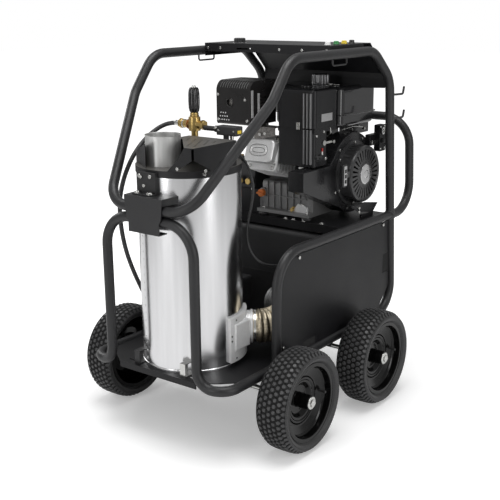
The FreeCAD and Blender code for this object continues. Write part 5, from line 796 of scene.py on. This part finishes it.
for number in range(6):
    turn = math.radians(60 * number + 30)
    spot = at(249.2, fan_y + math.cos(turn) * 80, FAN_Z + math.sin(turn) * 80)
    blower_parts.append((hexagon(spot, RIGHT, 5.0, 3.6, 0.8), bright_zinc))
blower_parts.append((block((84, fan_y - 18, 396), (118, fan_y + 18, 418), 2.0), cast_grey))
piece("burner_fan", "chassis", "cast_aluminium", blower_parts, "burner_blower")

# Burner fuel tank and battery: a rotation-moulded black tank with a parting line and a lobed cap
# fills the space under the engine platform; a starting battery stands beside it on the tray.
moulded_black = finish("moulded_black", (0.022, 0.022, 0.023), 0.48, grain=1100, depth=0.3, mottle=0.2)
lead_grey = finish("lead_grey", (0.20, 0.20, 0.21), 0.55, metal=0.8, grain=300, depth=0.4)


def lobed_cap(centre, radius, height, lobes, depth=2.2, dome=3.0):
    """Screw cap with finger lobes round its side and an eased top."""
    rings = []
    for lift, grow in ((0, -1.0), (1.5, 0), (height - dome, 0), (height - dome * 0.3, -1.6),
                       (height, -4.5), (height, -radius + 2)):
        ring = []
        for step in range(lobes * 8):
            angle = 2 * math.pi * step / (lobes * 8)
            cut = depth * max(0.0, math.cos(angle * lobes)) ** 3
            r = max(1.5, radius + grow - (cut if grow > -4 else cut * 0.5))
            ring.append(centre + Vector((math.cos(angle) * r, math.sin(angle) * r, lift)) / 1000)
        rings.append(ring)
    return skin(rings)


tank_parts = [(refined("burner_fuel_tank", 1.2, 2), moulded_black)]
seam_ring = []
for x, y, first in ((210, 194, -90), (210, 412, 0), (-210, 412, 90), (-210, 194, 180)):
    for step in range(5):
        angle = math.radians(first + 22.5 * step)
        seam_ring.append((x + 28.9 * math.cos(angle), y + 28.9 * math.sin(angle)))
tank_parts += [
    (slab(seam_ring, "z", 414, 418, 1.0), moulded_black),
    (lobed_cap(at(-168, 226, 582), 28, 21.5, 8), moulded_black)]
piece("burner_tank", "chassis", "plastic_black", tank_parts, "burner_fuel_tank")
battery_parts = [(refined("battery", 1.5, 2), moulded_black)]
cell_cap = stud(at(-218, 60, 412.8), UP, 9, 3.6, 9, 0.8, 24)
battery_parts.append((repeated(cell_cap, 6, moulded_black, step=(0.028, 0, 0)), moulded_black))
for x in (-208, -88):
    battery_parts += [
        (stud(at(x, -4, 417), UP, 11, 10, 11, 1.0, 28), lead_grey),
        (block((x - 6, -4, 419), (x + 6, 24, 426), 1.2), lead_grey)]
battery_parts.append((block((-240, 30, 416.4), (-56, 36, 420), 1.0), bright_zinc))
piece("starting_battery", "chassis", "plastic_black", battery_parts, "battery")

# Side sheets and engine deck: flat closing sheets of black textured steel, bolted to tabs on the
# panel tubes, and a folded deck between the side tubes that carries the engine on rubber mounts.
DECK_Z = 620.0
side_parts = [(refined("side_panels", 0.5), sheet_black)]
# Near-black strips on both side sheets, by the rear post and low at the middle, are painted shade.
for side in SIDES.values():
    edges = sorted((side * 277.2, side * 278.4))
    side_parts += [
        (block((edges[0], 440, 392), (edges[1], post_y(434), 476), 0.3), painted_shade_rubber),
        (block((edges[0], -74, 263.4), (edges[1], 4, 294), 0.3), painted_shade_rubber)]
piece("side_sheets", "chassis", "sheet_black", side_parts, "side_panels")
deck_parts = [(refined("engine_platform", 0.6), sheet_black)]
stay = [(262, 677), (359, 677), (453, 660), (418, 630), (312, 650)]
# The upright sheet at the deck's front left, under the pump, is a dark sheet put in a shaded gap: painted
# shade.
deck_parts += [
    (slab(stay, "x", 246, 249, 0.8), sheet_black),
    (block((240, 340, 620), (249, 420, 634), 1.0), sheet_black),
    (block((-188, 202, 619), (-98, 204.5, 709), 0.8), sheet_black)]
for x, y in ((26, 189), (60, 189), (103, 189), (176, 192)):
    deck_parts += [
        (hexagon(at(x, y, DECK_Z - 0.2), UP, 6.5, 5.2, 1.0), bright_zinc),
        (stud(at(x, y, DECK_Z - 0.2), UP, 9, 1.5, 9, 0.4, 24), bright_zinc)]
for z in (648, 662):
    deck_parts.append((hexagon(at(248.8, 318, z), RIGHT, 6.0, 4.0, 0.9), bright_zinc))
mount_rubber = rounded_profile([(0.2, 0.1), (0.2, 17), (3, 18.5), (8, 18.5), (11.4, 16), (11.4, 0.1)],
                               1.5)
for x, y in ((-81, 202), (-81, 455), (106, 202), (106, 455)):
    deck_parts.append((turned(mount_rubber, at(x, y, DECK_Z), UP, 36), tyre_rubber))
piece("engine_deck", "chassis", "sheet_black", deck_parts, "engine_platform")
piece("hex_bolts", "chassis", "zinc_steel", [(refined("bolts", 0.9, 2), bright_zinc)], "bolts")

# Crankcase: a bright aluminium casting with a ribbed front, a flanged foot, a screwed side cover
# and a brass drain. The orange filler plug with its dipstick screws into a spout on the front.
CRANK = at(0, 378.5, 774)
brass = finish("bare_brass", (0.56, 0.40, 0.15), 0.30, metal=1.0, grain=420, depth=0.12, mottle=0.18)
orange_plastic = finish("orange_plastic", (0.62, 0.17, 0.03), 0.32, grain=700, depth=0.1, mottle=0.08)
case_parts = [(refined("crankcase", 1.8, 2), cast_grey)]
for x in (-70, -42, -14, 14, 42, 70):
    case_parts.append((block((x - 2, 209, 645), (x + 2, 217, 742), 0.9), cast_grey))
# The bright slab on the front of the foot is the same casting made lighter: painted light.
case_parts += [(block((-92, 210, 690), (100, 217, 694), 0.9), cast_grey),
               (slab(((0, 632.5), (104, 632.5), (104, 664), (66, 676), (44, 646), (0, 642)), "y", 206,
                     216, 1.2), cast_bright)]
for number in range(9):
    turn = math.radians(40 * number + 12)
    spot = CRANK + Vector((-0.0948, math.cos(turn) * 0.101, math.sin(turn) * 0.101))
    case_parts.append((hexagon(spot, LEFT, 5.5, 4.5, 0.9), bright_zinc))
drain = at(45, 216, 652)
case_parts += [
    (hexagon(drain, FRONT, 11, 9, 1.2), brass),
    (lathe([(8, 0.1), (8, 6.5), (20, 6.5), (20, 0.1)], 0.9, drain, FRONT, 24), brass),
    (hexagon(at(67, 216, 750), FRONT, 7, 8, 1.0), bright_zinc),
    (hexagon(at(84, 216, 668), FRONT, 7, 8, 1.0), bright_zinc)]
piece("crankcase_casting", "chassis", "cast_aluminium", case_parts, "crankcase")
piece("filler_plug", "oil_dipstick", "plastic_orange", [(refined("dipstick", 1.2, 3), orange_plastic)],
      "dipstick")

# Cylinder and head: one finned aluminium casting tilted forward, closed by a pressed rocker
# cover with a raised oval, with the spark plug's rubber boot and lead beside it.
BORE_TILT = math.radians(20)
bore_out = Vector((0, -math.cos(BORE_TILT), math.sin(BORE_TILT)))
bore_up = Vector((0, math.sin(BORE_TILT), math.cos(BORE_TILT)))
bore_axis = CRANK + Vector((-0.038, 0, 0))


def on_bore(x, out, up):
    """Point in metres from millimetres across, out along and up from the cylinder's axis."""
    return bore_axis + (Vector((x, 0, 0)) + bore_out * out + bore_up * up) / 1000


def oval_ring(out, half_w, half_h, count=48):
    """Rounded oval round the cylinder's axis at a distance out along it."""
    ring = []
    for step in range(count):
        angle = 2 * math.pi * step / count
        across = math.copysign(abs(math.cos(angle)) ** 0.72, math.cos(angle))
        rise = math.copysign(abs(math.sin(angle)) ** 0.72, math.sin(angle))
        ring.append(on_bore(across * half_w, out, rise * half_h))
    return ring


cover_bright = finish("pressed_bright_cover", (0.74, 0.74, 0.74), 0.36, metal=0.6, grain=300, depth=0.08,
                      mottle=0.08)
ceramic = finish("white_ceramic", (0.78, 0.77, 0.74), 0.3, grain=300, depth=0.05)
cylinder_parts = [(refined("cylinder", 0.8, 2), cast_bright)]
for x in (-48, 48):
    for up in (-53, 53):
        cylinder_parts.append((hexagon(on_bore(x, 245.8, up), bore_out, 6.5, 6, 1.0), bright_zinc))
cylinder_parts.append((stud(at(6, 187, 877), (0.6, -0.25, 0.72), 7, 14, 6, 0.9, 28), ceramic))
piece("finned_cylinder", "chassis", "cast_aluminium", cylinder_parts, "cylinder")
valve_parts = [(refined("valve_cover", 2.2, 3), cover_bright)]
oval = [oval_ring(279.5, 36, 19), oval_ring(281.2, 35, 18), oval_ring(282.2, 32, 15),
        oval_ring(281.4, 29, 12), oval_ring(279.8, 27, 10)]
valve_parts.append((skin(oval), cover_bright))
# Dark rings round the raised oval, in the pressed cover's grooves: painted shade.
for wide, high in ((38.6, 21.6), (26.6, 9.8)):
    groove = [oval_ring(out, wide - inset, high - inset) for out,
              inset in ((279.3, 0), (280.0, 0.2), (280.0, 2.0), (279.3, 2.2))]
    valve_parts.append((skin(groove), cast_dark))
for x in (-57, 57):
    for up in (-39, 39):
        valve_parts.append((hexagon(on_bore(x * 0.97, 249.8, up * 0.99), bore_out, 5.5, 5, 0.9),
                            bright_zinc))
piece("rocker_cover", "chassis", "cast_aluminium", valve_parts, "valve_cover")
lead_route = [(12, 184, 884), (30, 176, 905), (60, 160, 940), (104, 178, 905), (122, 200, 850)]
boot = rounded_profile([(-2, 0.1), (-2, 9.6), (14, 9.8), (20, 7.4), (29, 6.4), (34, 4.4), (34, 0.1)], 1.4)
lead_way = (at(*lead_route[1]) - at(*lead_route[0])).normalized()
plug_parts = [(turned(boot, at(*lead_route[0]), lead_way, 32), hose_jacket),
              (tube([at(*place) for place in lead_route], [18, 18, 20], 3.5, 16), hose_jacket)]
piece("plug_boot_and_lead", "chassis", "hose_rubber", plug_parts, "spark_plug_cap")

# Fan shroud and starter: a black enamelled pressed shroud, the dished starter cover with its ring
# of radial slots screwed over the bladed fan, a bright centre cap and the pull grip.
engine_enamel = finish("engine_enamel", (0.014, 0.014, 0.015), 0.26, grain=500, depth=0.10, mottle=0.15,
                       coat=0.15)
slot_painted_shade = finish("slot_shadow_black", (0.004, 0.004, 0.004), 0.8, grain=500, depth=0.1)
chrome = finish("chrome_trim", (0.72, 0.72, 0.72), 0.12, metal=1.0, grain=300, depth=0.03, mottle=0.05)
shroud_parts = [(refined("blower_housing", 1.1, 3), engine_enamel)]
for angle in (135, 205, 252, 20, 62, 318):
    turn = math.radians(angle)
    spot = CRANK + Vector((0.186, math.cos(turn) * 0.130, math.sin(turn) * 0.130))
    shroud_parts.append((hexagon(spot - Vector((0.0002, 0, 0)), RIGHT, 5.5, 4.2, 0.9), bright_zinc))
# A near-black ring behind the starter's slots is a sheet put where there is only shade: painted shade.
back_plate = [(0.6, 34), (0.6, 138.5), (2.2, 138.5), (2.2, 34)]
shroud_parts.append((turned(back_plate, CRANK + Vector((0.124, 0, 0)), RIGHT, 72, 0.4), slot_painted_shade))
piece("fan_shroud", "chassis", "engine_black", shroud_parts, "blower_housing")
# The starter cover's enamel is lighter than the shroud's, a painted highlight on its ribs.
starter_enamel = finish("starter_enamel", (0.034, 0.034, 0.035), 0.28, grain=500, depth=0.08,
                        mottle=0.12, coat=0.2)
starter_parts = [(refined("recoil_cover", 0.7, 2), starter_enamel)]
cap_profile = rounded_profile([(-3, 0.1), (-3, 36.5), (0.9, 36.5), (1.6, 33), (1.2, 14), (2.0, 12),
                               (2.0, 0.1)], 0.8)
starter_parts.append((turned(cap_profile, CRANK + Vector((0.240, 0, 0)), RIGHT, 72), chrome))
for number in range(6):
    turn = math.radians(28 + 60 * number)
    spot = CRANK + Vector((0.1883, math.cos(turn) * 0.1092, math.sin(turn) * 0.1092))
    starter_parts.append((hexagon(spot, RIGHT, 5.5, 4.2, 0.9), bright_zinc))
# Thin near-black patches in the starter cover's side are painted shade in its side slots.
side_slot = skin([[CRANK + Vector((x, math.cos(a) * r, math.sin(a) * r)) for x, a in
                   ((0.195, 0), (0.225, 0), (0.225, 0.048), (0.195, 0.048))] for r in (0.1008, 0.1023)])
for first, count in ((96, 6), (226, 5)):
    turned_slot = side_slot.copy()
    turned_slot.transform(Matrix.Translation(CRANK) @ Matrix.Rotation(math.radians(first), 4, "X") @
                          Matrix.Translation(-CRANK))
    starter_parts.append((repeated(turned_slot, count, slot_painted_shade, centre=CRANK,
                                   turn=(math.radians(8.4), 0, 0)), slot_painted_shade))
piece("starter_cover", "chassis", "engine_black", starter_parts, "recoil_cover")
# The fan is dark so the slots over it read black: painted shade.
piece("bladed_fan", "crankshaft", "cast_aluminium", [(refined("flywheel_fan", 0.5, 2), cast_dark)],
      "flywheel_fan")
# On the black grip, the chrome strip is a painted highlight and the near-black insets are painted shade
# in its openings.
grip_parts = [
    (refined("recoil_grip", 3.5, 3), engine_enamel),
    (block((240.4, 230, 754), (241.9, 247, 822), 0.7), chrome)]
for z in (762, 780, 798):
    grip_parts.append((block((241.2, 233, z), (242.3, 244, z + 13), 0.5), slot_painted_shade))
piece("pull_grip", "starter_grip", "plastic_black", grip_parts, "recoil_grip")
rope_braid = finish("rope_braid", (0.16, 0.155, 0.14), 0.75, grain=1500, depth=0.6, mottle=0.5, patch=900)
rope = piece("pull_rope", None, "plastic_black",
             [(tube([at(232, 264, 788), at(232, 243, 788)], [], 2.6, 14), rope_braid)])
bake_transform(rope)

# Muffler and its guard: a folded box of heat-blackened sheet with slit louvres round a pressed
# steel muffler, on a bright tray and pipe that bolt to the cylinder head.
heat_black = finish("heat_black_sheet", (0.013, 0.012, 0.012), 0.30, grain=600, depth=0.3, mottle=0.35,
                    patch=22, shine=0.35)
heat_steel = finish("heated_steel", (0.22, 0.21, 0.20), 0.38, metal=1.0, grain=200, depth=0.2,
                    mottle=0.35, patch=18)
guard_parts = [(refined("muffler_guard", 0.8, 2), heat_black)]
for number in range(4):
    y = 100 + number * 17
    lip = [(y, 1107.6), (y + 7, 1111.0), (y + 7.8, 1110.2), (y + 1.2, 1106.8)]
    guard_parts.append((skin([[at(x, py, pz - 3) for py, pz in lip] for x in (-156, -100)], ease=0.3),
                        heat_black))
for y0, y1, z0, z1 in ((66, 78, 985, 1078), (103, 114, 996, 1066)):
    guard_parts.append((block((-32.2, y0, z0), (-30.4, y1, z1), 0.6), cover_bright))
guard_parts.append((block((-90, 58.6, 1052), (-62, 60.4, 1058), 0.5), heat_black))
arcs = [[at(x, 95 - math.cos(turn) * radius, 1073 + math.sin(turn) * radius) for radius in (34.4, 35.5)
         for x in (-168, -164)] for turn in (math.radians(18 + 8 * step) for step in range(8))]
# Near-black strips stand for the slit louvres' openings: painted shade.
front_slot = skin([[ring[0], ring[1], ring[3], ring[2]] for ring in arcs])
guard_parts.append((repeated(front_slot, 12, slot_painted_shade, step=(0.0102, 0, 0)), slot_painted_shade))
# Grey strips along the louvres' lips on the black sheet: painted highlight.
edge_arcs = [[point + Vector((0.0042, 0, 0)) for point in (ring[0], ring[1], ring[3], ring[2])]
             for ring in arcs]
lip_painted_highlight = skin([[(a * 0.25 + b * 0.75), b, c, (c * 0.75 + d * 0.25)] for a, b, c, d in edge_arcs])
guard_parts.append((repeated(lip_painted_highlight, 12, cast_grey, step=(0.0102, 0, 0)), cast_grey))
for row in range(3):
    for column in range(5 - row):
        spot = at(-164 + column * 10 + row * 3, 59.8, 974 + row * 12)
        guard_parts.append((stud(spot, FRONT, 2.6, 0.9, 2.2, 0.3, 12),
                            cover_bright))
rim = rounded_profile([(-1, 12.2), (-1, 16.5), (2.2, 15.5), (3.0, 13.6), (2.6, 12.2)], 0.6)
guard_parts.append((turned(rim, at(-118, 60, 1034), FRONT, 40), heat_black))
for x, z in ((-168, 975), (-168, 1060), (-44, 975), (-52, 1046)):
    guard_parts.append((hexagon(at(x, 60.2, z), FRONT, 5.5, 4, 0.9), bright_zinc))
piece("louvred_guard", "chassis", "engine_black", guard_parts, "muffler_guard")
muffler_parts = [
    (refined("muffler", 1.6, 2), heat_steel),
    (block((-62, 120, 948), (26, 170, 951), 0.7), heat_steel),
    (slab(((-70, 900), (20, 920), (20, 951), (-62, 951)), "y", 132, 135, 0.6), heat_steel)]
for x, z in ((-42, 922), (-20, 927)):
    muffler_parts.append((hexagon(at(x, 132.2, z), FRONT, 6.5, 6, 1.0), bright_zinc))
piece("muffler_and_pipe", "chassis", "zinc_steel", muffler_parts, "muffler")

# Air cleaner and carburettor: a satin black moulded box in two halves with ridges down its front
# corner and a plain silver plate, on a bright cast carburettor with its float bowl.
satin_black = finish("satin_moulding", (0.010, 0.010, 0.011), 0.24, grain=1300, depth=0.22, mottle=0.15,
                     shine=0.3)
plate_silver = finish("plain_silver_plate", (0.58, 0.58, 0.58), 0.3, metal=0.9, grain=500, depth=0.05)
cleaner_parts = [
    (refined("air_cleaner_cover", 1.4, 3), satin_black),
    (block((179.2, 178, 975), (180.3, 245, 1001), 0.5), plate_silver)]
# The ridges are the same black moulding as the box; their far lighter, coated finish is a painted
# highlight.
ridge_painted_highlight = finish("ridge_painted_highlight", (0.105, 0.105, 0.107), 0.2, grain=700, depth=0.05, mottle=0.1,
                     coat=0.5)
ridge = [(-3.4, 134.5), (-1.6, 130.4), (0.8, 130.0), (4.0, 135.1), (4.2, 141), (-3.4, 141)]
for x in (137, 151, 164):
    rows = [[at(x + dx, y, z) for dx, y in ridge] for z in (956, 1072)]
    cleaner_parts.append((skin(rows, ease=0.3), ridge_painted_highlight))
cleaner_parts += [(block((108, 131.5, 950), (122, 137, 974), 1.2), bright_zinc),
                  (lathe([(0, 0.1), (0, 17), (7, 16), (9, 12), (9, 0.1)], 1.2, at(100, 206, 1084.6), UP,
                         36), satin_black)]
piece("cleaner_cover", "chassis", "plastic_black", cleaner_parts, "air_cleaner_cover")
cleaner_base = [(refined("air_cleaner_base", 1.0, 2), satin_black)]
for x in (137, 151, 164):
    rows = [[at(x + dx, y + 1.2, z) for dx, y in ridge] for z in (834, 951)]
    cleaner_base.append((skin(rows, ease=0.3), ridge_painted_highlight))
cleaner_base.append((block((177.2, 183, 862), (180.6, 189, 874), 0.9), ceramic))
red_plastic = finish("red_plastic", (0.45, 0.02, 0.015), 0.32, grain=500, depth=0.1)
cleaner_base.append((block((177.2, 183, 874), (180.6, 189, 886), 0.9), red_plastic))
for y, z, radius in ((210, 847, 6.5), (197, 940, 5.0), (152, 930, 5.0)):
    cleaner_base.append((stud(at(177.3, y, z), RIGHT, radius, 2.6, radius - 0.8, 0.6, 28), bright_zinc))
cleaner_base += [
    (block((80, 189, 786), (136, 191.5, 811), 0.6), bright_zinc),
    (block((98, 189.2, 810), (118, 191.3, 834), 0.5), satin_black)]
for x in (90, 126):
    cleaner_base.append((lathe([(0, 2.6), (0, 6.2), (1.4, 5.8), (1.4, 2.6)], 0.4, at(x, 189, 799), FRONT,
                               20), cast_dark))
piece("cleaner_base", "chassis", "plastic_black", cleaner_base, "air_cleaner_base")
carb_parts = [
    (refined("carburettor", 1.2, 2), cast_bright),
    (block((92, 196, 786), (108, 226, 802), 0.9), bright_zinc),
    (hexagon(at(66, 245, 812.2), DOWN, 8, 7, 1.0), brass)]
for y in (232, 258):
    carb_parts.append((stud(at(95.8, y, 888), RIGHT, 4.5, 3, 4, 0.5, 20), brass))
link = [at(100, 240, 884), at(140, 246, 900), at(176, 244, 930), at(178, 236, 950)]
carb_parts.append((tube(link, [12, 12], 1.6, 12), bright_zinc))
piece("carburettor_and_links", "chassis", "cast_aluminium", carb_parts, "carburettor")
piece("throttle_arm", "throttle", "zinc_steel", [(refined("throttle_lever", 0.8, 2), bright_zinc)],
      "throttle_lever")
piece("choke_pull", "choke", "plastic_black", [(refined("choke_lever", 0.8, 2), moulded_black)],
      "choke_lever")

# Engine fuel tank: two pressed halves in gloss black enamel, rolled together at a flange, with a
# lobed cap on the neck and a bright bead chain that keeps the cap to the tank.
CAP_X = 42
CAP_Y = 382
CAP_Z = 1080.3
gloss_black = finish("gloss_tank_enamel", (0.016, 0.016, 0.017), 0.14, grain=300, depth=0.02,
                     mottle=0.12, coat=0.5)
tank_top = [(refined("fuel_tank", 1.6, 3), gloss_black)]
for x, y in ((-70, 300.6), (60, 300.6), (-70, 567.4), (60, 567.4)):
    tank_top.append((block((x, y, 977), (x + 26, y + 6, 983), 0.9), gloss_black))
neck_ring = rounded_profile([(0, 24.2), (0, 27), (2, 27), (2, 24.2)], 0.5)
tank_top.append((turned(neck_ring, at(CAP_X, CAP_Y, 1080.1), UP, 48), bright_zinc))
bead = lathe([(-1.8, 0.1), (-1.5, 1.3), (0, 1.9), (1.5, 1.3), (1.8, 0.1)], 0.6, at(76, 372, 1082.2),
             RIGHT, 10)
tank_top += [
    (repeated(bead, 15, bright_zinc, centre=at(76, 372, 1082.2), step=(0.0040, -0.0004, 0)), bright_zinc),
    (block((146, 345, 900), (149, 545, 938), 0.8), gloss_black),
    (tube([at(152, 352, 926), at(153, 430, 931), at(152, 500, 922)], [24, 24], 1.8, 12), bright_zinc)]
for y, z in ((372, 928), (424, 919), (470, 927), (512, 915)):
    tank_top.append((hexagon(at(149, y, z), RIGHT, 5.5, 5, 0.9), bright_zinc))
piece("pressed_fuel_tank", "chassis", "engine_black", tank_top, "fuel_tank")
cap_grey = finish("grey_cap_plastic", (0.16, 0.16, 0.165), 0.22, metal=0.5, grain=700, depth=0.08,
                  mottle=0.15, coat=0.3)
cap_parts = [(lobed_cap(at(CAP_X, CAP_Y, CAP_Z), 32, 36, 10, 3.2, 5.0), cap_grey)]
cap_rim = rounded_profile([(0.2, 24.5), (0.2, 31.0), (5, 31.6), (6, 30), (6, 24.5)], 0.8)
cap_parts.append((turned(cap_rim, at(CAP_X, CAP_Y, CAP_Z), UP, 64), moulded_black))
piece("screw_cap", "filler_cap", "plastic_black", cap_parts, "fuel_cap")

# Ignition switch: a moulded box on an arm from the shroud, screwed at its corners, with a bright
# ring round the lock and a turned key.
switch_parts = [(refined("key_switch", 1.2, 3), satin_black)]
lock_ring = rounded_profile([(0.1, 6.4), (0.1, 13.6), (4.6, 13.0), (5.2, 11), (5.2, 6.4)], 0.8)
switch_parts.append((turned(lock_ring, at(230, 510, 912), RIGHT, 40), chrome))
for y, z in ((496, 926), (524, 926), (496, 848), (524, 848)):
    switch_parts.append((stud(at(229.8, y, z), RIGHT, 4, 1.6, 3.4, 0.4, 20),
                         bright_zinc))
switch_parts += [(lathe([(0, 0.1), (0, 9), (8, 8), (9.4, 6), (9.4, 0.1)], 0.9, at(229.8, 510, 876),
                        RIGHT, 32), moulded_black),
                 (block((186, 466, 864), (212, 488, 878), 1.0), bright_zinc)]
piece("lock_and_box", "chassis", "plastic_black", switch_parts, "key_switch")
piece("lock_key", "key", "zinc_steel", [(refined("ignition_key", 0.8, 2), bright_zinc)], "ignition_key")

# High pressure pump: a grey cast plunger pump flanged to the engine's far side, with a dark
# manifold bolted in front that has three brass hex plugs above and three before.
pump_parts = [(refined("pump", 1.8, 2), cast_grey)]
for number in range(6):
    pump_parts.append((block((-228, 318 + number * 22, 832), (-120, 322 + number * 22, 841), 1.0),
                       cast_grey))
for y, z in ((316, 706), (316, 820), (436, 706), (436, 820)):
    pump_parts.append((hexagon(at(-234.8, y, z), LEFT, 7, 6, 1.0), bright_zinc))
for number in range(6):
    turn = math.radians(60 * number)
    spot = at(-244.8, 378.5 + math.cos(turn) * 31, 774 + math.sin(turn) * 31)
    pump_parts.append((hexagon(spot, LEFT, 4.5, 3.5, 0.7), bright_zinc))
piece("plunger_pump", "chassis", "cast_aluminium", pump_parts, "pump")
manifold_parts = [(refined("pump_head", 1.4, 2), cast_dark)]
for x in (-211.5, -176.5, -141.5):
    manifold_parts += [
        (hexagon(at(x, 238, 815.8), UP, 12.5, 7, 1.2), brass),
        (hexagon(at(x, 192.2, 736), FRONT, 12.5, 7, 1.2), brass)]
for x in (-222, -131):
    for z in (708, 792):
        manifold_parts.append((stud(at(x, 208.2, z), FRONT, 6, 7, 6, 0.9, 24),
                               bright_zinc))
piece("brass_manifold", "chassis", "brass", manifold_parts, "pump_head")

# Unloader valve: a brass cross on the boiler's riser with hex ports, a bright fitting to the
# pressure hose, a fluted black adjusting knob and a switch box on the other port.
VALVE = (-53, -205, 993)
KNOB_Z = 1031
valve_parts = [
    (refined("unloader_body", 0.9, 2), brass),
    (lathe([(40, 8), (40, 14), (45, 14), (45, 8)], 0.6, at(*VALVE), LEFT, 32), bright_zinc)]
for lift, radius in ((25, 15), (31, 14)):
    valve_parts.append((hexagon(at(-53, -205, 993 + lift), UP, radius, 5, 1.0), brass))
copper = finish("copper_washer", (0.52, 0.24, 0.12), 0.3, metal=1.0, grain=300, depth=0.08)
valve_parts += [
    (turned([(20.5, 12), (20.5, 16.6), (22.8, 16.6), (22.8, 12)], at(*VALVE), LEFT, 40, 0.4), copper),
    (turned([(2, 10), (2, 14.5), (7, 14.5), (7, 10)], at(-53, -205, 889), UP, 6, 0.5), bright_zinc)]
piece("valve_cross", "chassis", "brass", valve_parts, "unloader_body")
knob_gloss = finish("gloss_knob_black", (0.005, 0.005, 0.005), 0.14, grain=500, depth=0.05, mottle=0.1,
                    coat=0.25)
knob_rings = []
for lift, radius in ((0, 3), (0, 12.5), (4, 15.6), (14, 17.6), (34, 18.4), (58, 18.0), (72, 16.2),
                     (78, 12.8), (79, 3)):
    ring = []
    for step in range(96):
        angle = 2 * math.pi * step / 96
        flute = 1.9 * max(0.0, math.cos(angle * 8)) ** 2 if radius > 13 else 0.0
        ring.append(at(-53 + math.cos(angle) * (radius - flute),
                       -205 + math.sin(angle) * (radius - flute), KNOB_Z + lift))
    knob_rings.append(ring)
knob_parts = [(skin(knob_rings), knob_gloss)]
tip = rounded_profile([(-1, 0.1), (-1, 6.6), (4.2, 6.4), (5.4, 4.5), (5.4, 0.1)], 0.8)
knob_parts.append((turned(tip, at(-53, -205, 1110), UP, 32), bright_zinc))
piece("fluted_knob", "pressure_knob", "plastic_black", knob_parts, "unloader_knob")
switch_box = [
    (refined("pressure_switch", 1.4, 3), moulded_black),
    (hexagon(at(34, -205, 985), RIGHT, 12, 10, 1.2), bright_zinc)]
yellow_plastic = finish("yellow_plastic", (0.70, 0.50, 0.03), 0.35, grain=500, depth=0.1)
switch_box.append((block((122, -214, 976), (128, -196, 986), 1.0), yellow_plastic))
for x in (58, 118):
    switch_box.append((stud(at(x, -222.8, 984), FRONT, 3.6, 1.6, 3, 0.4, 18),
                       bright_zinc))
piece("pressure_switch_box", "chassis", "plastic_black", switch_box, "pressure_switch")

# Console: one folded black sheet between the rails, with a slotted front lip, a ridged dial for
# the water's heat, and four colour-coded spray nozzles pushed into rubber grommets.
CONSOLE_Z = 1230.0
NOZZLES = ((122, "white", (0.75, 0.75, 0.74)), (173, "green", (0.03, 0.22, 0.06)),
           (222, "yellow", (0.75, 0.56, 0.03)), (270, "black", (0.02, 0.02, 0.02)))
console_parts = [(refined("top_console", 0.5, 2), sheet_black)]
for x in (-245, -190, 60, 150, 245):
    console_parts.append((hexagon(at(x, 103.2, 1214), FRONT, 5, 3.4, 0.8), bright_zinc))
console_parts.append((hexagon(at(230, 458, 1123), (0, 0.68, 0.73), 6, 4, 0.9), bright_zinc))
dial_ring = rounded_profile([(-0.2, 5), (-0.2, 24), (0.5, 24), (0.5, 5)], 0.2)
console_parts += [
    (turned(dial_ring, at(-150, 160, CONSOLE_Z), UP, 64), plate_silver),
    (slab(((-262, 1052), (262, 1070), (262, 1105), (-262, 1105)), "y", 457.4, 459, 0.4), sheet_black)]
piece("folded_console", "chassis", "sheet_black", console_parts, "top_console")
dial_parts = [
    (lobed_cap(at(-150, 160, CONSOLE_Z + 0.6), 20, 15.6, 14, 1.8, 2.4), moulded_black),
    (block((-151.2, 161, CONSOLE_Z + 15.2), (-148.8, 177, CONSOLE_Z + 16.8), 0.4), ceramic)]
piece("heat_dial", "thermostat", "plastic_black", dial_parts, "thermostat_knob")
nozzle_parts = []
for y, name, colour in NOZZLES:
    paint = finish("nozzle_" + name, colour, 0.4, grain=500, depth=0.1)
    seat = at(236, y, CONSOLE_Z)
    head = rounded_profile([(1.6, 2.2), (1.6, 10), (4, 10), (5, 9), (11.2, 8.4), (12.2, 6.6),
                            (12.2, 3.0), (9, 2.2)], 0.7)
    nozzle_parts.append((turned(head, seat, UP, 36), paint))
    stem = rounded_profile([(-34, 2.2), (-34, 5.2), (-30, 5.9), (-22, 5.9), (-21, 4.8), (-19, 4.8),
                            (-18, 5.9), (9.1, 5.9), (9.1, 2.2)], 0.5)
    nozzle_parts.append((turned(stem, seat, UP, 28), bright_zinc))
    grommet = rounded_profile([(-3.2, 5.9), (-3.2, 6.6), (-2.1, 6.9), (0.1, 6.9), (0.1, 12), (1.7, 11),
                               (1.7, 5.9)], 0.4)
    nozzle_parts.append((turned(grommet, seat, UP, 32), tyre_rubber))
piece("spray_tips", "chassis", "nozzle_plastic", nozzle_parts, "spray_nozzles")
piece("bent_wire_hooks", "chassis", "frame_black", [(refined("wire_hooks", 0), coat_black)], "wire_hooks")
